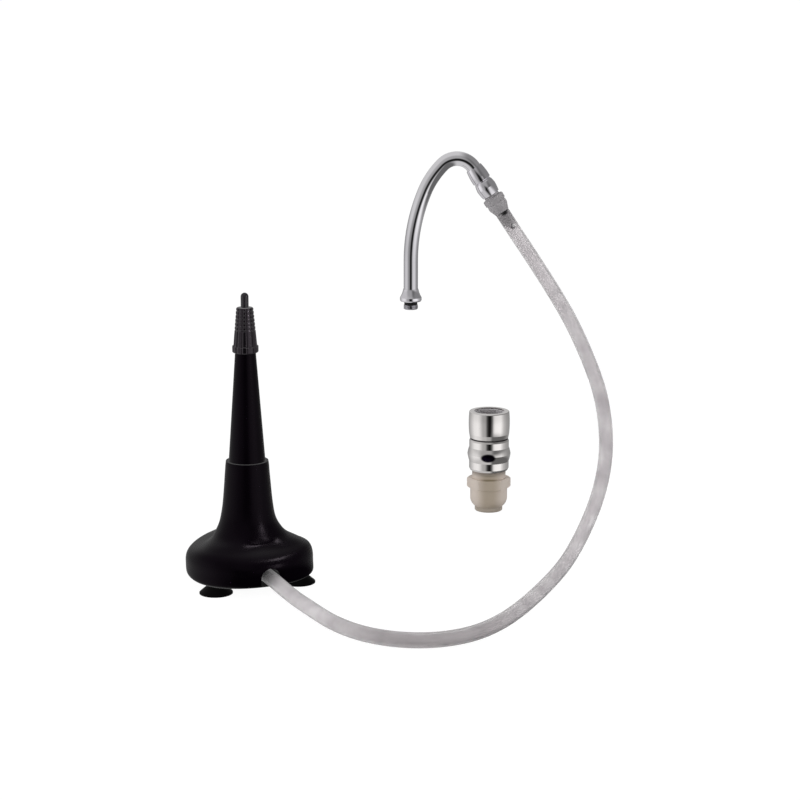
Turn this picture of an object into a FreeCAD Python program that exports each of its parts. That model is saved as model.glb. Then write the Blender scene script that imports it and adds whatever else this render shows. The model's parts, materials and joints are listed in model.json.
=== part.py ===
import FreeCAD, Part
import math
import os

# A faucet-fed rinsing set in millimetres: an upright nozzle stand on suction cups, a clear hose,
# a gooseneck spout with a quick coupler, and a second, larger quick coupler standing by itself.
# The origin is on the floor, on the axis of the stand. +Z is up, and -Y is the front.

V = FreeCAD.Vector
UP = V(0, 0, 1)
TURN_ORIGIN = V(0, 0, 0)

# Clearances
RUN_GAP = 0.06            # radial, between a turning or sliding piece and what guides it
SEAT_GAP = 0.05           # radial, between a fixed spigot and its socket
FACE_GAP = 0.1            # along the axis, between a moving piece and its stop
RUBBER_GAP = 0.03         # between an O-ring and its groove and wall
BARB_GRIP = 0.25          # how far a barb stretches the hose, on the radius
SCREW_GRIP = 0.2          # how far a screw's thread cuts into its post, on the radius

# Stand: lobed foot and neck
LOBES = 3
LOBE_ANGLE = -5.6         # degrees, the lobe at the right
FOOT_HEIGHT = 9.0         # from the floor to the underside of the bottom cover
COVER_THICKNESS = 3.0
SHELL_WALL = 2.5
# Height, mean radius and swing of the lobes for each section of the bottom cover's edge
COVER_SECTIONS = [(9.0, 58.0, 3.0), (10.2, 61.6, 2.6), (12.0, 64.0, 2.2)]
# The same for the shell, from the cover up to the rim of the neck
SHELL_SECTIONS = [
    (12.0, 64.0, 2.2), (16.0, 65.4, 1.4), (22.0, 65.4, 1.1), (30.0, 65.1, 1.2),
    (38.2, 61.0, 3.0), (44.0, 50.0, 7.2), (48.2, 42.2, 6.6), (52.3, 37.0, 2.9),
    (58.0, 32.9, 1.3), (64.0, 29.8, 0.5), (71.0, 27.7, 0.0), (79.0, 26.3, 0.0),
    (88.0, 25.2, 0.0), (98.0, 24.3, 0.0), (108.0, 23.5, 0.0), (118.0, 22.7, 0.0),
    (128.0, 21.7, 0.0),
]
OUTLINE_POINTS = 24
LIP_HEIGHT = 3.0          # the cover's locating lip inside the shell
LIP_THICKNESS = 2.0
LIP_GAP = 0.3
POST_RADIUS = 4.0         # the screw posts under the shoulder
POST_PLACE = 36.0
POST_HOLE = 1.5
SCREW_RADIUS = POST_HOLE + SCREW_GRIP
SCREW_HEAD_RADIUS = 3.2
SCREW_HEAD_HEIGHT = 1.8
SCREW_LENGTH = 12.0
SCREW_HOLE_GAP = 0.3

# Suction cups
CUP_PLACE = 52.0          # from the stand's axis
CUP_RADIUS = 17.0
CUP_LIP = 1.8             # width of the flat sealing ring
CUP_LIP_HEIGHT = 1.2
CUP_NECK = 7.6
CUP_HOLLOW = 3.6
CUP_STEM = 4.0
CUP_HEAD = 6.0
CUP_HEAD_HEIGHT = 2.4

# Arched recess at the front, where the hose comes out
HOSE_ANGLE = LOBE_ANGLE - 180 / LOBES
ARCH_HALF_WIDTH = 10.0
ARCH_WALL = 2.2
HOSE_SLOT_GAP = 0.5
ARCH_BACK = 29.5          # from the stand's axis to the recess's back wall

# Inlet elbow and riser inside the stand
INLET_HEIGHT = 20.0       # of the hose's inner end, also the centre of the arch's round top
ELBOW_RADIUS = 6.5
ELBOW_COLLAR = 7.0
ELBOW_BOSS = 8.0
ELBOW_RISE = 23.0         # from the inlet's height up to the elbow's top
ELBOW_FLANGE_RISE = 7.0
ELBOW_FLANGE_THICKNESS = 2.5
ELBOW_EAR_PLACE = 15.0
ELBOW_EAR_RADIUS = 4.5
ELBOW_SCREW_LENGTH = 8.0
HOSE_START = 12.0         # from the stand's axis to the hose's inner end
BARB_LENGTH = 17.0
BARB_STEPS = 4
BARB_BORE = 3.2
RISER_RADIUS = 5.0
RISER_BORE = 3.5
RISER_FOOT_RISE = 11.0
RISER_SEAL = 0.7          # radius of the riser O-rings' cord
ELBOW_SEAL_RISE = 17.0

# Upper cone
NECK_SOCKET_DEPTH = 25.0
NECK_LEDGE = 2.5
NECK_LEDGE_BORE = 15.0
CONE_BASE_RADIUS = 18.7
CONE_TOP_RADIUS = 10.4
CONE_REACH = 114.0        # from the neck's rim up to the cone's top
CONE_WALL = 2.0
CONE_HEAD = 14.0          # height of the thick head that holds the nozzle body
CONE_SEAL = 1.2
CONE_SEAL_DROP = 12.0     # from the neck's rim to the seal

# Nozzle body, valve washer and jet tip
NOZZLE_SPIGOT = 7.0
NOZZLE_FLANGE = 9.7
NOZZLE_FLANGE_HEIGHT = 3.0
NOZZLE_STEM = 7.2
NOZZLE_SPIGOT_LENGTH = 13.0
NOZZLE_STEM_LENGTH = 19.0
NOZZLE_GUIDE_DEPTH = 12.0  # from the stem's top down to the valve seat
NOZZLE_SEAT_THICKNESS = 2.5
NOZZLE_PASSAGE = 2.0
RISER_END_GAP = 2.5       # between the riser's end and the seat
RISER_SEAL_DROP = 7.0     # from the cone's top down to the seal
SNAP_RISE = 3.5           # from the flange up to the snap groove
SNAP_WIDTH = 2.4
SNAP_DEPTH = 0.6
TIP_RADIUS = 4.0
TIP_REACH = 15.0          # how far the tip stands out of the cap
TIP_BORE = 1.2
TIP_GUIDE = 4.5
TIP_THREAD = 6.1
TIP_THREAD_GAP = 2.0      # from the stem's top up to the tip's thread
TIP_THREAD_HEIGHT = 7.0
TIP_SEAL = 0.7
TIP_SEAL_RISE = 7.0       # from the valve seat up to the tip's seal
TIP_TRAVEL = 3.0
VALVE_WASHER_THICKNESS = 1.2

# Nozzle cap
CAP_OVERLAP = 1.7         # how far the cap's foot hangs below the cone's top
CAP_HEIGHT = 45.7
CAP_BAND = 7.2            # height of the wide band at its foot
CAP_BAND_RADIUS = 13.3
CAP_FOOT_RADIUS = 12.0
CAP_TOP_RADIUS = 8.6
CAP_ROUND = 0.8
CAP_SKIRT_WALL = 1.8
CAP_FLANGE_GAP = 0.3
CAP_RIDGES = 6
CAP_RIDGE_PITCH = 3.9
CAP_RIDGE_DEPTH = 0.7
CAP_RIDGE_GROOVE = 1.5
CAP_RIDGE_DROP = 2.4      # from the cap's top to the first groove
CAP_FLUTES = 14
CAP_FLUTE_RADIUS = 1.6
CAP_FLUTE_DEPTH = 0.7

# Hose
HOSE_RADIUS = 7.5
HOSE_BORE = 5.0
HOSE_STRAIGHT_IN = 26.0   # first run, in line with the inlet
HOSE_STRAIGHT_OUT = 26.0  # each of the last two runs, in line with the coupler
BEND_SHARE = 0.45         # an arc's tangent length as a share of its shorter run
# Corners of the route between those straight ends
HOSE_ROUTE = [
    (25.6, -56.5, 20.8), (48.5, -89.9, 11.8), (69.0, -119.0, 7.6), (90.0, -160.0, 7.5),
    (118.0, -194.0, 7.5), (152.0, -213.0, 7.5), (189.0, -215.0, 7.5), (224.0, -199.5, 8.2),
    (252.0, -166.5, 9.0), (277.0, -113.5, 8.2), (305.0, -40.0, 7.5), (330.0, 18.0, 14.8),
    (350.0, 52.0, 38.5), (366.0, 75.0, 69.0), (375.0, 90.0, 104.0), (375.0, 95.0, 141.0),
    (368.0, 95.0, 180.0), (353.0, 95.0, 219.0), (336.0, 95.0, 255.0), (317.0, 95.0, 287.0),
    (293.0, 95.0, 324.0),
]

# Place and slope of the spout's coupler
COUPLER_ACROSS = 232.3
COUPLER_BACK = 95.0
COUPLER_HEIGHT = 416.3
COUPLER_PLACE = V(COUPLER_ACROSS, COUPLER_BACK, COUPLER_HEIGHT)
COUPLER_SLOPE = 57.0      # degrees below level, towards the right

# Spout
TUBE_RADIUS = 7.5
TUBE_WALL = 1.0
# Radius and turn in degrees of each bend, from the leg to the outlet
BEND_RADII = [188.0, 88.0, 20.7]
BEND_TURNS = [22.5, 22.0, 102.5]
TUBE_IN_NUT = 6.0
LEG_FOOT = 279.0
BELL_FLOOR = 2.5          # thickness of the bell's floor under the leg
BELL_HEIGHT = 13.0
BELL_TOP_RADIUS = 8.0
BELL_RADIUS = 11.4
BELL_WIDEST_RISE = 4.0    # from the bell's foot up to its widest place
BELL_FOOT_RADIUS = 10.6
NIPPLE_LENGTH = 18.0
NIPPLE_RADIUS = 7.2       # the middle of its thread, which is left plain
NIPPLE_SHANK = 5.6
NIPPLE_BORE = 4.5
NIPPLE_OUT = 8.5          # how far it stands out under the bell
NIPPLE_END_HEIGHT = 4.6
GASKET_RADIUS = 6.9

# Fitted coupler. Lengths run along its axis, from the nut's upper edge towards the hose
FIT_NUT_LENGTH = 16.0
FIT_NUT_TOP_RADIUS = 8.6
FIT_NUT_RADIUS = 9.9
FIT_NUT_WIDEST = 11.0
FIT_NUT_EDGE = 0.8
FIT_NUT_WEB = 1.5
FIT_NUT_PASSAGE = 5.5
FIT_NUT_THREAD = 8.3
FIT_WASHER_THICKNESS = 1.5
FIT_WASHER_BORE = 5.0
FIT_BARREL = 7.8
FIT_BORE = 5.6
FIT_PASSAGE = 4.2
FIT_BORE_START = 12.5
FIT_END = 28.8
FIT_SLEEVE_START = 16.8
FIT_SLEEVE_END = 32.9
FIT_SLEEVE_RADIUS = 9.4
FIT_SLEEVE_BULGE = 10.6
FIT_SLEEVE_WIDEST = 24.5
FIT_SLEEVE_END_RADIUS = 9.5
FIT_POCKET = 8.75
FIT_BALLS = 6
FIT_BALL = 1.5
FIT_BALL_PLACE = 22.0
FIT_TRAVEL = 2.8
FIT_RING_WIDTH = 0.6
FIT_RING_RADIUS = 8.55
FIT_SPRING_WIRE = 0.25
FIT_SPRING_TURNS = 2
FIT_PLUG_TIP = 13.6
FIT_PLUG_SEAL = 0.8
FIT_PLUG_SEAL_PLACE = 17.0
FIT_NECK = 8.2
FIT_HEX_START = 36.2
FIT_HEX_END = 42.8
FIT_HEX_FLATS = 19.6
FIT_HEX_CHAMFER = 1.0
FIT_BODY = 10.6
FIT_BODY_BEND = 46.5
FIT_BODY_END = 54.3
FIT_BODY_END_RADIUS = 7.9

# Loose coupler, standing with its plug down. Lengths run down from its mouth
LOOSE_PLACE = (258.8, 281.3)
LOOSE_HEAD_RADIUS = 23.1
LOOSE_HEAD_SWELL = 0.6
LOOSE_HEAD_END = 31.0
LOOSE_HEAD_BEVEL = 5.0
LOOSE_HEAD_BEVEL_DEPTH = 0.9
LOOSE_EDGE = 1.2
LOOSE_THREAD = 17.5       # radius of the mouth's bore, a plain stand-in for its thread
LOOSE_THREAD_DEPTH = 15.0
LOOSE_WASHER_THICKNESS = 2.5
LOOSE_WASHER_RADIUS = 18.1  # it sits in a relief behind the thread
LOOSE_WASHER_BORE = 10.0
LOOSE_PASSAGE = 9.0
LOOSE_BARREL = 18.6
LOOSE_BORE = 13.6
LOOSE_BORE_START = 21.0
LOOSE_END = 69.0
LOOSE_SLEEVE_START = 32.2
LOOSE_SLEEVE_END = 68.8
LOOSE_SLEEVE_RADIUS = 22.9
LOOSE_SLEEVE_SWELL = 42.0
LOOSE_SLEEVE_BULGE = 24.9
LOOSE_SLEEVE_WIDEST = 49.8
LOOSE_SLEEVE_STEP = 58.4
LOOSE_SLEEVE_END_RADIUS = 22.9
LOOSE_SLEEVE_BEVEL = 2.4
LOOSE_SLEEVE_BEVEL_DEPTH = 1.2
LOOSE_POCKET = 20.8
LOOSE_BALLS = 8
LOOSE_BALL = 3.2
LOOSE_BALL_PLACE = 46.0
LOOSE_TRAVEL = 6.0
LOOSE_RING_WIDTH = 1.2
LOOSE_RING_RADIUS = 20.4
LOOSE_SPRING_WIRE = 0.6
LOOSE_SPRING_TURNS = 5
LOOSE_PLUG_TIP = 22.5
LOOSE_PLUG_BORE = 8.0
LOOSE_PLUG_SEAL = 1.6
LOOSE_PLUG_SEAL_PLACE = 30.0
LOOSE_NECK = 19.4
LOOSE_HEX_START = 78.3
LOOSE_HEX_END = 90.1
LOOSE_HEX_FLATS = 43.8
LOOSE_HEX_CHAMFER = 2.0
LOOSE_BODY = 21.4
LOOSE_BODY_BEND = 102.5
LOOSE_BODY_END = 111.8
LOOSE_BODY_END_RADIUS = 16.4
LOOSE_COLLET = 16.0
LOOSE_COLLET_LIP = 5.6    # how far the collet ring stands out of the plug
LOOSE_COLLET_BORE = 11.0
LOOSE_COLLET_SEAT = 3.4   # how far it reaches into the plug
LOOSE_COLLET_SHANK = 13.5
LOOSE_HEIGHT = LOOSE_BODY_END + LOOSE_COLLET_LIP

os.makedirs("parts", exist_ok=True)


# Helpers for shapes

def turned(*steps):
    """A solid of revolution about Z. A step is (r, z), or (r, z, middle r, middle z) for an arc."""
    edges = []
    start = V(steps[0][0], 0, steps[0][1])
    last = start
    for step in steps[1:]:
        end = V(step[0], 0, step[1])
        if len(step) == 4:
            edges.append(Part.Arc(last, V(step[2], 0, step[3]), end).toShape())
        else:
            edges.append(Part.LineSegment(last, end).toShape())
        last = end
    if last.distanceToPoint(start) > 0.001:
        edges.append(Part.LineSegment(last, start).toShape())
    face = Part.Face(Part.Wire(edges))
    return face.revolve(V(0, 0, 0), UP, 360)


def tube(radius, bore, low, high):
    outer = Part.makeCylinder(radius, high - low, V(0, 0, low))
    return outer.cut(Part.makeCylinder(bore, high - low, V(0, 0, low)))


def rod(radius, low, high):
    return Part.makeCylinder(radius, high - low, V(0, 0, low))


def o_ring(cord, wall_radius, place):
    """A ring of round cord that reaches the wall around it, less the rubber's gap."""
    return Part.makeTorus(wall_radius - RUBBER_GAP - cord, cord, V(0, 0, place))


def groove_floor(cord, wall_radius):
    return wall_radius - 2 * cord - 2 * RUBBER_GAP


def seal_groove(cord, wall_radius, place):
    """The cut that holds such a ring on a spigot inside that wall."""
    half = cord + RUBBER_GAP
    return tube(wall_radius + 1, groove_floor(cord, wall_radius), place - half, place + half)


def piped(path, radius, bore, start, facing):
    """A tube along a path that starts at a point and faces along it there."""
    outer = Part.Face(Part.Wire(Part.makeCircle(radius, start, facing)))
    inner = Part.Face(Part.Wire(Part.makeCircle(bore, start, facing)))
    return path.makePipe(outer.cut(inner).Faces[0])


def around(shape, count, start=0.0):
    """Copies of a shape, evenly turned about Z."""
    copies = []
    for k in range(count):
        copy = shape.copy()
        copy.rotate(TURN_ORIGIN, UP, start + 360.0 * k / count)
        copies.append(copy)
    return copies


def along_hose_inlet(shape):
    """Turns a shape made along +X to lie along the hose's way out of the stand."""
    copy = shape.copy()
    copy.rotate(TURN_ORIGIN, UP, HOSE_ANGLE)
    return copy


def on_fitted_axis(shape):
    """Puts a shape made along +Z on the spout coupler's axis."""
    copy = shape.copy()
    copy.rotate(TURN_ORIGIN, V(0, 1, 0), 90 + COUPLER_SLOPE)
    copy.translate(COUPLER_PLACE)
    return copy


def on_loose_axis(shape):
    """Puts a shape made along +Z in the loose coupler, which stands mouth up."""
    copy = shape.copy()
    copy.rotate(TURN_ORIGIN, V(0, 1, 0), 180)
    copy.translate(V(LOOSE_PLACE[0], LOOSE_PLACE[1], LOOSE_HEIGHT))
    return copy


def coil(wire, radius, low, high, turns):
    """A compression spring as one tube on half-turn arcs, with its ends just inside the limits."""
    foot, top = low + wire + FACE_GAP, high - wire - FACE_GAP
    halves = 2 * turns

    def point(share):
        angle = 2 * math.pi * turns * share
        return V(radius * math.cos(angle), radius * math.sin(angle), foot + (top - foot) * share)

    edges = []
    for k in range(halves):
        middle = point((k + 0.5) / halves)
        edges.append(Part.Arc(point(k / halves), middle, point((k + 1) / halves)).toShape())
    path = Part.Wire(edges)
    circle = Part.Wire(Part.makeCircle(wire, point(0), edges[0].tangentAt(edges[0].FirstParameter)))
    return path.makePipeShell([circle], True, False)


def hexagon(flats, low, high, chamfer):
    """A hexagonal prism with its corners on the X axis and its corners turned off at both ends."""
    corner = flats / math.sqrt(3)
    points = []
    for k in range(7):
        angle = math.radians(60 * k)
        points.append(V(corner * math.cos(angle), corner * math.sin(angle), low))
    prism = Part.Face(Part.makePolygon(points)).extrude(V(0, 0, high - low))
    edge = corner - chamfer
    bound = turned((0, low), (edge, low), (corner, low + chamfer * 0.6),
                   (corner, high - chamfer * 0.6), (edge, high), (0, high))
    return prism.common(bound)


def lobed_outline(height, radius, swing):
    """A closed smooth outline whose radius swings in and out over the lobes."""
    points = []
    for k in range(OUTLINE_POINTS):
        angle = 2 * math.pi * k / OUTLINE_POINTS
        reach = radius + swing * math.cos(LOBES * (angle - math.radians(LOBE_ANGLE)))
        points.append(V(reach * math.cos(angle), reach * math.sin(angle), height))
    curve = Part.BSplineCurve()
    evenly = [k / OUTLINE_POINTS for k in range(OUTLINE_POINTS + 1)]
    curve.interpolate(Points=points, PeriodicFlag=True, Parameters=evenly)
    return Part.Wire(curve.toShape())


def lobed_solid(sections):
    return Part.makeLoft([lobed_outline(*section) for section in sections], True, False, False, 5)


def inner_sections(sections, wall):
    """The sections of a shell's hollow, drawn in by the wall square to the slope."""
    inner = []
    for k, (height, radius, swing) in enumerate(sections):
        below, above = sections[max(k - 1, 0)], sections[min(k + 1, len(sections) - 1)]
        slope = (above[1] - below[1]) / (above[0] - below[0])
        inner.append((height, radius - wall * math.sqrt(1 + slope * slope), swing))
    return inner


def barbs(start, length):
    """A hose tail along +Z with rising steps that stretch the hose."""
    crest = HOSE_BORE + BARB_GRIP
    root = HOSE_BORE - BARB_GRIP
    pitch = length / BARB_STEPS
    steps = [(BARB_BORE, start), (crest, start)]
    for k in range(BARB_STEPS):
        foot = start + pitch * k
        steps.append((crest, foot + pitch * 0.3))
        steps.append((root, foot + pitch))
        if k < BARB_STEPS - 1:
            steps.append((crest, foot + pitch))
    steps.append((BARB_BORE, start + length))
    return turned(*steps)


# Stand

SHELL_FOOT = FOOT_HEIGHT + COVER_THICKNESS
NECK_RIM = SHELL_SECTIONS[-1][0]
CONE_TOP = NECK_RIM + CONE_REACH
NECK_BORE = CONE_BASE_RADIUS + 0.4
SOCKET_FLOOR = NECK_RIM - NECK_SOCKET_DEPTH
LEDGE_FOOT = SOCKET_FLOOR - NECK_LEDGE
ELBOW_TOP = INLET_HEIGHT + ELBOW_RISE
ELBOW_FLANGE_HEIGHT = INLET_HEIGHT + ELBOW_FLANGE_RISE
ELBOW_SEAL_HEIGHT = INLET_HEIGHT + ELBOW_SEAL_RISE
RISER_FOOT = INLET_HEIGHT + RISER_FOOT_RISE
CUP_ANGLES = {"right": LOBE_ANGLE, "rear": LOBE_ANGLE + 120, "left": LOBE_ANGLE - 120}


def arch(half_width, back, low):
    """A round-topped tunnel from its back wall out through the front of the stand."""
    reach = 1.2 * SHELL_SECTIONS[2][1]
    block = Part.makeBox(reach - back, 2 * half_width, INLET_HEIGHT - low,
                         V(back, -half_width, low))
    crown = Part.makeCylinder(half_width, reach - back, V(back, 0, INLET_HEIGHT), V(1, 0, 0))
    above = Part.makeBox(reach - back, 2 * half_width, INLET_HEIGHT + half_width - low,
                         V(back, -half_width, low))
    return along_hose_inlet(block.fuse(crown.common(above)))


def hose_slot(half_width, low):
    """The way through the tunnel's back wall for the hose and the elbow."""
    slot = Part.makeBox(ARCH_BACK + 1, 2 * half_width, INLET_HEIGHT - low,
                        V(0, -half_width, low))
    crown = Part.makeCylinder(half_width, ARCH_BACK + 1, V(0, 0, INLET_HEIGHT), V(1, 0, 0))
    return along_hose_inlet(slot.fuse(crown))


def base_shell():
    outer = lobed_solid(SHELL_SECTIONS)
    hollow = lobed_solid(inner_sections(SHELL_SECTIONS, SHELL_WALL))
    hollow = hollow.common(rod(2 * SHELL_SECTIONS[0][1], 0, LEDGE_FOOT))
    inside_kept = arch(ARCH_HALF_WIDTH + ARCH_WALL, ARCH_BACK - ARCH_WALL, SHELL_FOOT)
    post = Part.makeCylinder(POST_RADIUS, NECK_RIM - SHELL_FOOT, V(POST_PLACE, 0, SHELL_FOOT))
    for copy in around(post, LOBES, LOBE_ANGLE):
        inside_kept = inside_kept.fuse(copy)
    shell = outer.cut(hollow.cut(inside_kept))
    shell = shell.cut(arch(ARCH_HALF_WIDTH, ARCH_BACK, SHELL_FOOT - 1))
    shell = shell.cut(hose_slot(HOSE_RADIUS + HOSE_SLOT_GAP, SHELL_FOOT - 1))
    shell = shell.cut(rod(NECK_BORE, SOCKET_FLOOR, NECK_RIM + 1))
    shell = shell.cut(rod(NECK_LEDGE_BORE, LEDGE_FOOT - 1, NECK_RIM))
    hole = Part.makeCylinder(POST_HOLE, SCREW_LENGTH, V(POST_PLACE, 0, SHELL_FOOT - 1))
    for copy in around(hole, LOBES, LOBE_ANGLE):
        shell = shell.cut(copy)
    return shell


def base_cover():
    cover = lobed_solid(COVER_SECTIONS)
    height, radius, swing = inner_sections(SHELL_SECTIONS, SHELL_WALL)[0]
    lip_outer = lobed_outline(height, radius - LIP_GAP, swing)
    lip_inner = lobed_outline(height, radius - LIP_GAP - LIP_THICKNESS, swing)
    lip = Part.Face(lip_outer).extrude(V(0, 0, LIP_HEIGHT))
    lip = lip.cut(Part.Face(lip_inner).extrude(V(0, 0, LIP_HEIGHT)))
    lip = lip.cut(arch(ARCH_HALF_WIDTH + ARCH_WALL + LIP_GAP, ARCH_BACK, SHELL_FOOT - 1))
    cover = cover.fuse(lip)
    ear = Part.makeCylinder(ELBOW_EAR_RADIUS, ELBOW_FLANGE_HEIGHT - SHELL_FOOT,
                            V(0, ELBOW_EAR_PLACE, SHELL_FOOT))
    pilot = Part.makeCylinder(POST_HOLE, ELBOW_SCREW_LENGTH,
                              V(0, ELBOW_EAR_PLACE, ELBOW_FLANGE_HEIGHT - ELBOW_SCREW_LENGTH + 1))
    for copy in around(ear, 2, HOSE_ANGLE):
        cover = cover.fuse(copy)
    for copy in around(pilot, 2, HOSE_ANGLE):
        cover = cover.cut(copy)
    stem = Part.makeCylinder(CUP_STEM + SEAT_GAP, COVER_THICKNESS + 2,
                             V(CUP_PLACE, 0, FOOT_HEIGHT - 1))
    screw = Part.makeCylinder(SCREW_RADIUS + SCREW_HOLE_GAP, COVER_THICKNESS + 2,
                              V(POST_PLACE, 0, FOOT_HEIGHT - 1))
    sink = Part.makeCylinder(SCREW_HEAD_RADIUS + SCREW_HOLE_GAP, SCREW_HEAD_HEIGHT + 1,
                             V(POST_PLACE, 0, FOOT_HEIGHT - 1))
    for tool in (stem, screw, sink):
        for copy in around(tool, LOBES, LOBE_ANGLE):
            cover = cover.cut(copy)
    return cover


def base_screws():
    head = FOOT_HEIGHT + SCREW_HEAD_HEIGHT
    screw = turned((0, FOOT_HEIGHT), (SCREW_HEAD_RADIUS - 0.5, FOOT_HEIGHT),
                   (SCREW_HEAD_RADIUS, FOOT_HEIGHT + 0.5), (SCREW_HEAD_RADIUS, head),
                   (SCREW_RADIUS, head), (SCREW_RADIUS, head + SCREW_LENGTH - 3.6),
                   (0, head + SCREW_LENGTH - 2))
    slot = Part.makeBox(2 * SCREW_HEAD_RADIUS, 0.8, 0.8, V(-SCREW_HEAD_RADIUS, -0.4, FOOT_HEIGHT))
    screw = screw.cut(slot)
    screw.translate(V(POST_PLACE, 0, 0))
    return Part.makeCompound(around(screw, LOBES, LOBE_ANGLE))


def suction_cup(angle):
    inner = CUP_RADIUS - CUP_LIP
    top = SHELL_FOOT + CUP_HEAD_HEIGHT
    cup = turned((inner, 0), (CUP_RADIUS, 0), (CUP_RADIUS, CUP_LIP_HEIGHT),
                 (CUP_NECK, FOOT_HEIGHT, 11.6, 5.9), (CUP_STEM, FOOT_HEIGHT),
                 (CUP_STEM, SHELL_FOOT), (CUP_HEAD, SHELL_FOOT),
                 (CUP_HEAD - 1, top), (0, top), (0, CUP_HOLLOW),
                 (inner, 0, inner * 0.6, CUP_HOLLOW * 0.72))
    cup.translate(V(CUP_PLACE, 0, 0))
    cup.rotate(TURN_ORIGIN, UP, angle)
    return cup


def inlet_elbow():
    boss = rod(ELBOW_BOSS, INLET_HEIGHT, ELBOW_TOP)
    ball = Part.makeSphere(ELBOW_RADIUS, V(0, 0, INLET_HEIGHT))
    collar = Part.makeCylinder(ELBOW_COLLAR, HOSE_START, V(0, 0, INLET_HEIGHT), V(1, 0, 0))
    tail = barbs(HOSE_START, BARB_LENGTH)
    tail.rotate(TURN_ORIGIN, V(0, 1, 0), 90)
    tail.translate(V(0, 0, INLET_HEIGHT))
    flange = Part.makeBox(2 * ELBOW_BOSS, 2 * ELBOW_EAR_PLACE, ELBOW_FLANGE_THICKNESS,
                          V(-ELBOW_BOSS, -ELBOW_EAR_PLACE, ELBOW_FLANGE_HEIGHT))
    waist = Part.makeBox(2 * ELBOW_EAR_RADIUS, 2 * ELBOW_EAR_PLACE, ELBOW_FLANGE_THICKNESS,
                         V(-ELBOW_EAR_RADIUS, -ELBOW_EAR_PLACE, ELBOW_FLANGE_HEIGHT))
    flange = flange.common(rod(ELBOW_BOSS + 2, 0, ELBOW_TOP)).fuse(waist)
    for side in (-1, 1):
        flange = flange.fuse(Part.makeCylinder(ELBOW_EAR_RADIUS, ELBOW_FLANGE_THICKNESS,
                                               V(0, side * ELBOW_EAR_PLACE, ELBOW_FLANGE_HEIGHT)))
    elbow = boss.fuse([ball, collar, tail, flange])
    for side in (-1, 1):
        place = V(0, side * ELBOW_EAR_PLACE, ELBOW_FLANGE_HEIGHT - ELBOW_FLANGE_THICKNESS)
        elbow = elbow.cut(Part.makeCylinder(SCREW_RADIUS + SCREW_HOLE_GAP,
                                            3 * ELBOW_FLANGE_THICKNESS, place))
    elbow = elbow.cut(rod(RISER_BORE, INLET_HEIGHT, ELBOW_TOP + 1))
    elbow = elbow.cut(rod(RISER_RADIUS + SEAT_GAP, RISER_FOOT, ELBOW_TOP + 1))
    elbow = elbow.cut(Part.makeCylinder(BARB_BORE, HOSE_START + BARB_LENGTH + 1,
                                        V(0, 0, INLET_HEIGHT), V(1, 0, 0)))
    elbow = elbow.cut(riser_seal_pocket(ELBOW_SEAL_HEIGHT))
    return along_hose_inlet(elbow)


def riser_seal_pocket(height):
    """The groove in a socket's wall for an O-ring that grips the riser."""
    half = RISER_SEAL + RUBBER_GAP
    reach = RISER_RADIUS + 2 * RISER_SEAL + 2 * RUBBER_GAP
    return rod(reach, height - half, height + half)


def riser_seal(height):
    return Part.makeTorus(RISER_RADIUS + RUBBER_GAP + RISER_SEAL, RISER_SEAL, V(0, 0, height))


def elbow_screws():
    seat = ELBOW_FLANGE_HEIGHT + ELBOW_FLANGE_THICKNESS
    tip = seat - ELBOW_SCREW_LENGTH
    screw = turned((0, tip), (SCREW_RADIUS, tip + 1.5), (SCREW_RADIUS, seat),
                   (SCREW_HEAD_RADIUS, seat), (SCREW_HEAD_RADIUS, seat + SCREW_HEAD_HEIGHT - 0.5),
                   (SCREW_HEAD_RADIUS - 0.5, seat + SCREW_HEAD_HEIGHT),
                   (0, seat + SCREW_HEAD_HEIGHT))
    screw.translate(V(0, ELBOW_EAR_PLACE, 0))
    return Part.makeCompound(around(screw, 2, HOSE_ANGLE))


def riser_tube():
    return tube(RISER_RADIUS, RISER_BORE, RISER_FOOT, RISER_TOP)


# Upper cone and nozzle

def cone_radius(height):
    """The cone's outer radius between the neck's rim and its top."""
    share = (height - NECK_RIM) / (CONE_TOP - NECK_RIM)
    return CONE_BASE_RADIUS + (CONE_TOP_RADIUS - CONE_BASE_RADIUS) * share


NOZZLE_FLANGE_TOP = CONE_TOP + NOZZLE_FLANGE_HEIGHT
NOZZLE_STEM_TOP = NOZZLE_FLANGE_TOP + NOZZLE_STEM_LENGTH
NOZZLE_SEAT = NOZZLE_STEM_TOP - NOZZLE_GUIDE_DEPTH
RISER_TOP = NOZZLE_SEAT - NOZZLE_SEAT_THICKNESS - RISER_END_GAP
RISER_SEAL_HEIGHT = CONE_TOP - RISER_SEAL_DROP
SNAP_HEIGHT = NOZZLE_FLANGE_TOP + SNAP_RISE
TIP_THREAD_FOOT = NOZZLE_STEM_TOP + TIP_THREAD_GAP
TIP_SEAL_HEIGHT = NOZZLE_SEAT + TIP_SEAL_RISE
CAP_FOOT = CONE_TOP - CAP_OVERLAP
CAP_TOP = CAP_FOOT + CAP_HEIGHT
TIP_TOP = CAP_TOP + TIP_REACH


def upper_cone():
    head_foot = CONE_TOP - CONE_HEAD
    steps = [
        (CONE_BASE_RADIUS - CONE_WALL, SOCKET_FLOOR), (CONE_BASE_RADIUS, SOCKET_FLOOR),
        (CONE_BASE_RADIUS, NECK_RIM), (CONE_TOP_RADIUS, CONE_TOP),
        (NOZZLE_SPIGOT + SEAT_GAP, CONE_TOP), (NOZZLE_SPIGOT + SEAT_GAP, head_foot),
        (cone_radius(head_foot - 3) - CONE_WALL, head_foot - 3),
        (CONE_BASE_RADIUS - CONE_WALL - 1.2, NECK_RIM),
        (CONE_BASE_RADIUS - CONE_WALL - 1.2, SOCKET_FLOOR + 4),
        (CONE_BASE_RADIUS - CONE_WALL, SOCKET_FLOOR + 2),
    ]
    return turned(*steps).cut(seal_groove(CONE_SEAL, NECK_BORE, NECK_RIM - CONE_SEAL_DROP))


def cone_seal():
    return o_ring(CONE_SEAL, NECK_BORE, NECK_RIM - CONE_SEAL_DROP)


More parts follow.
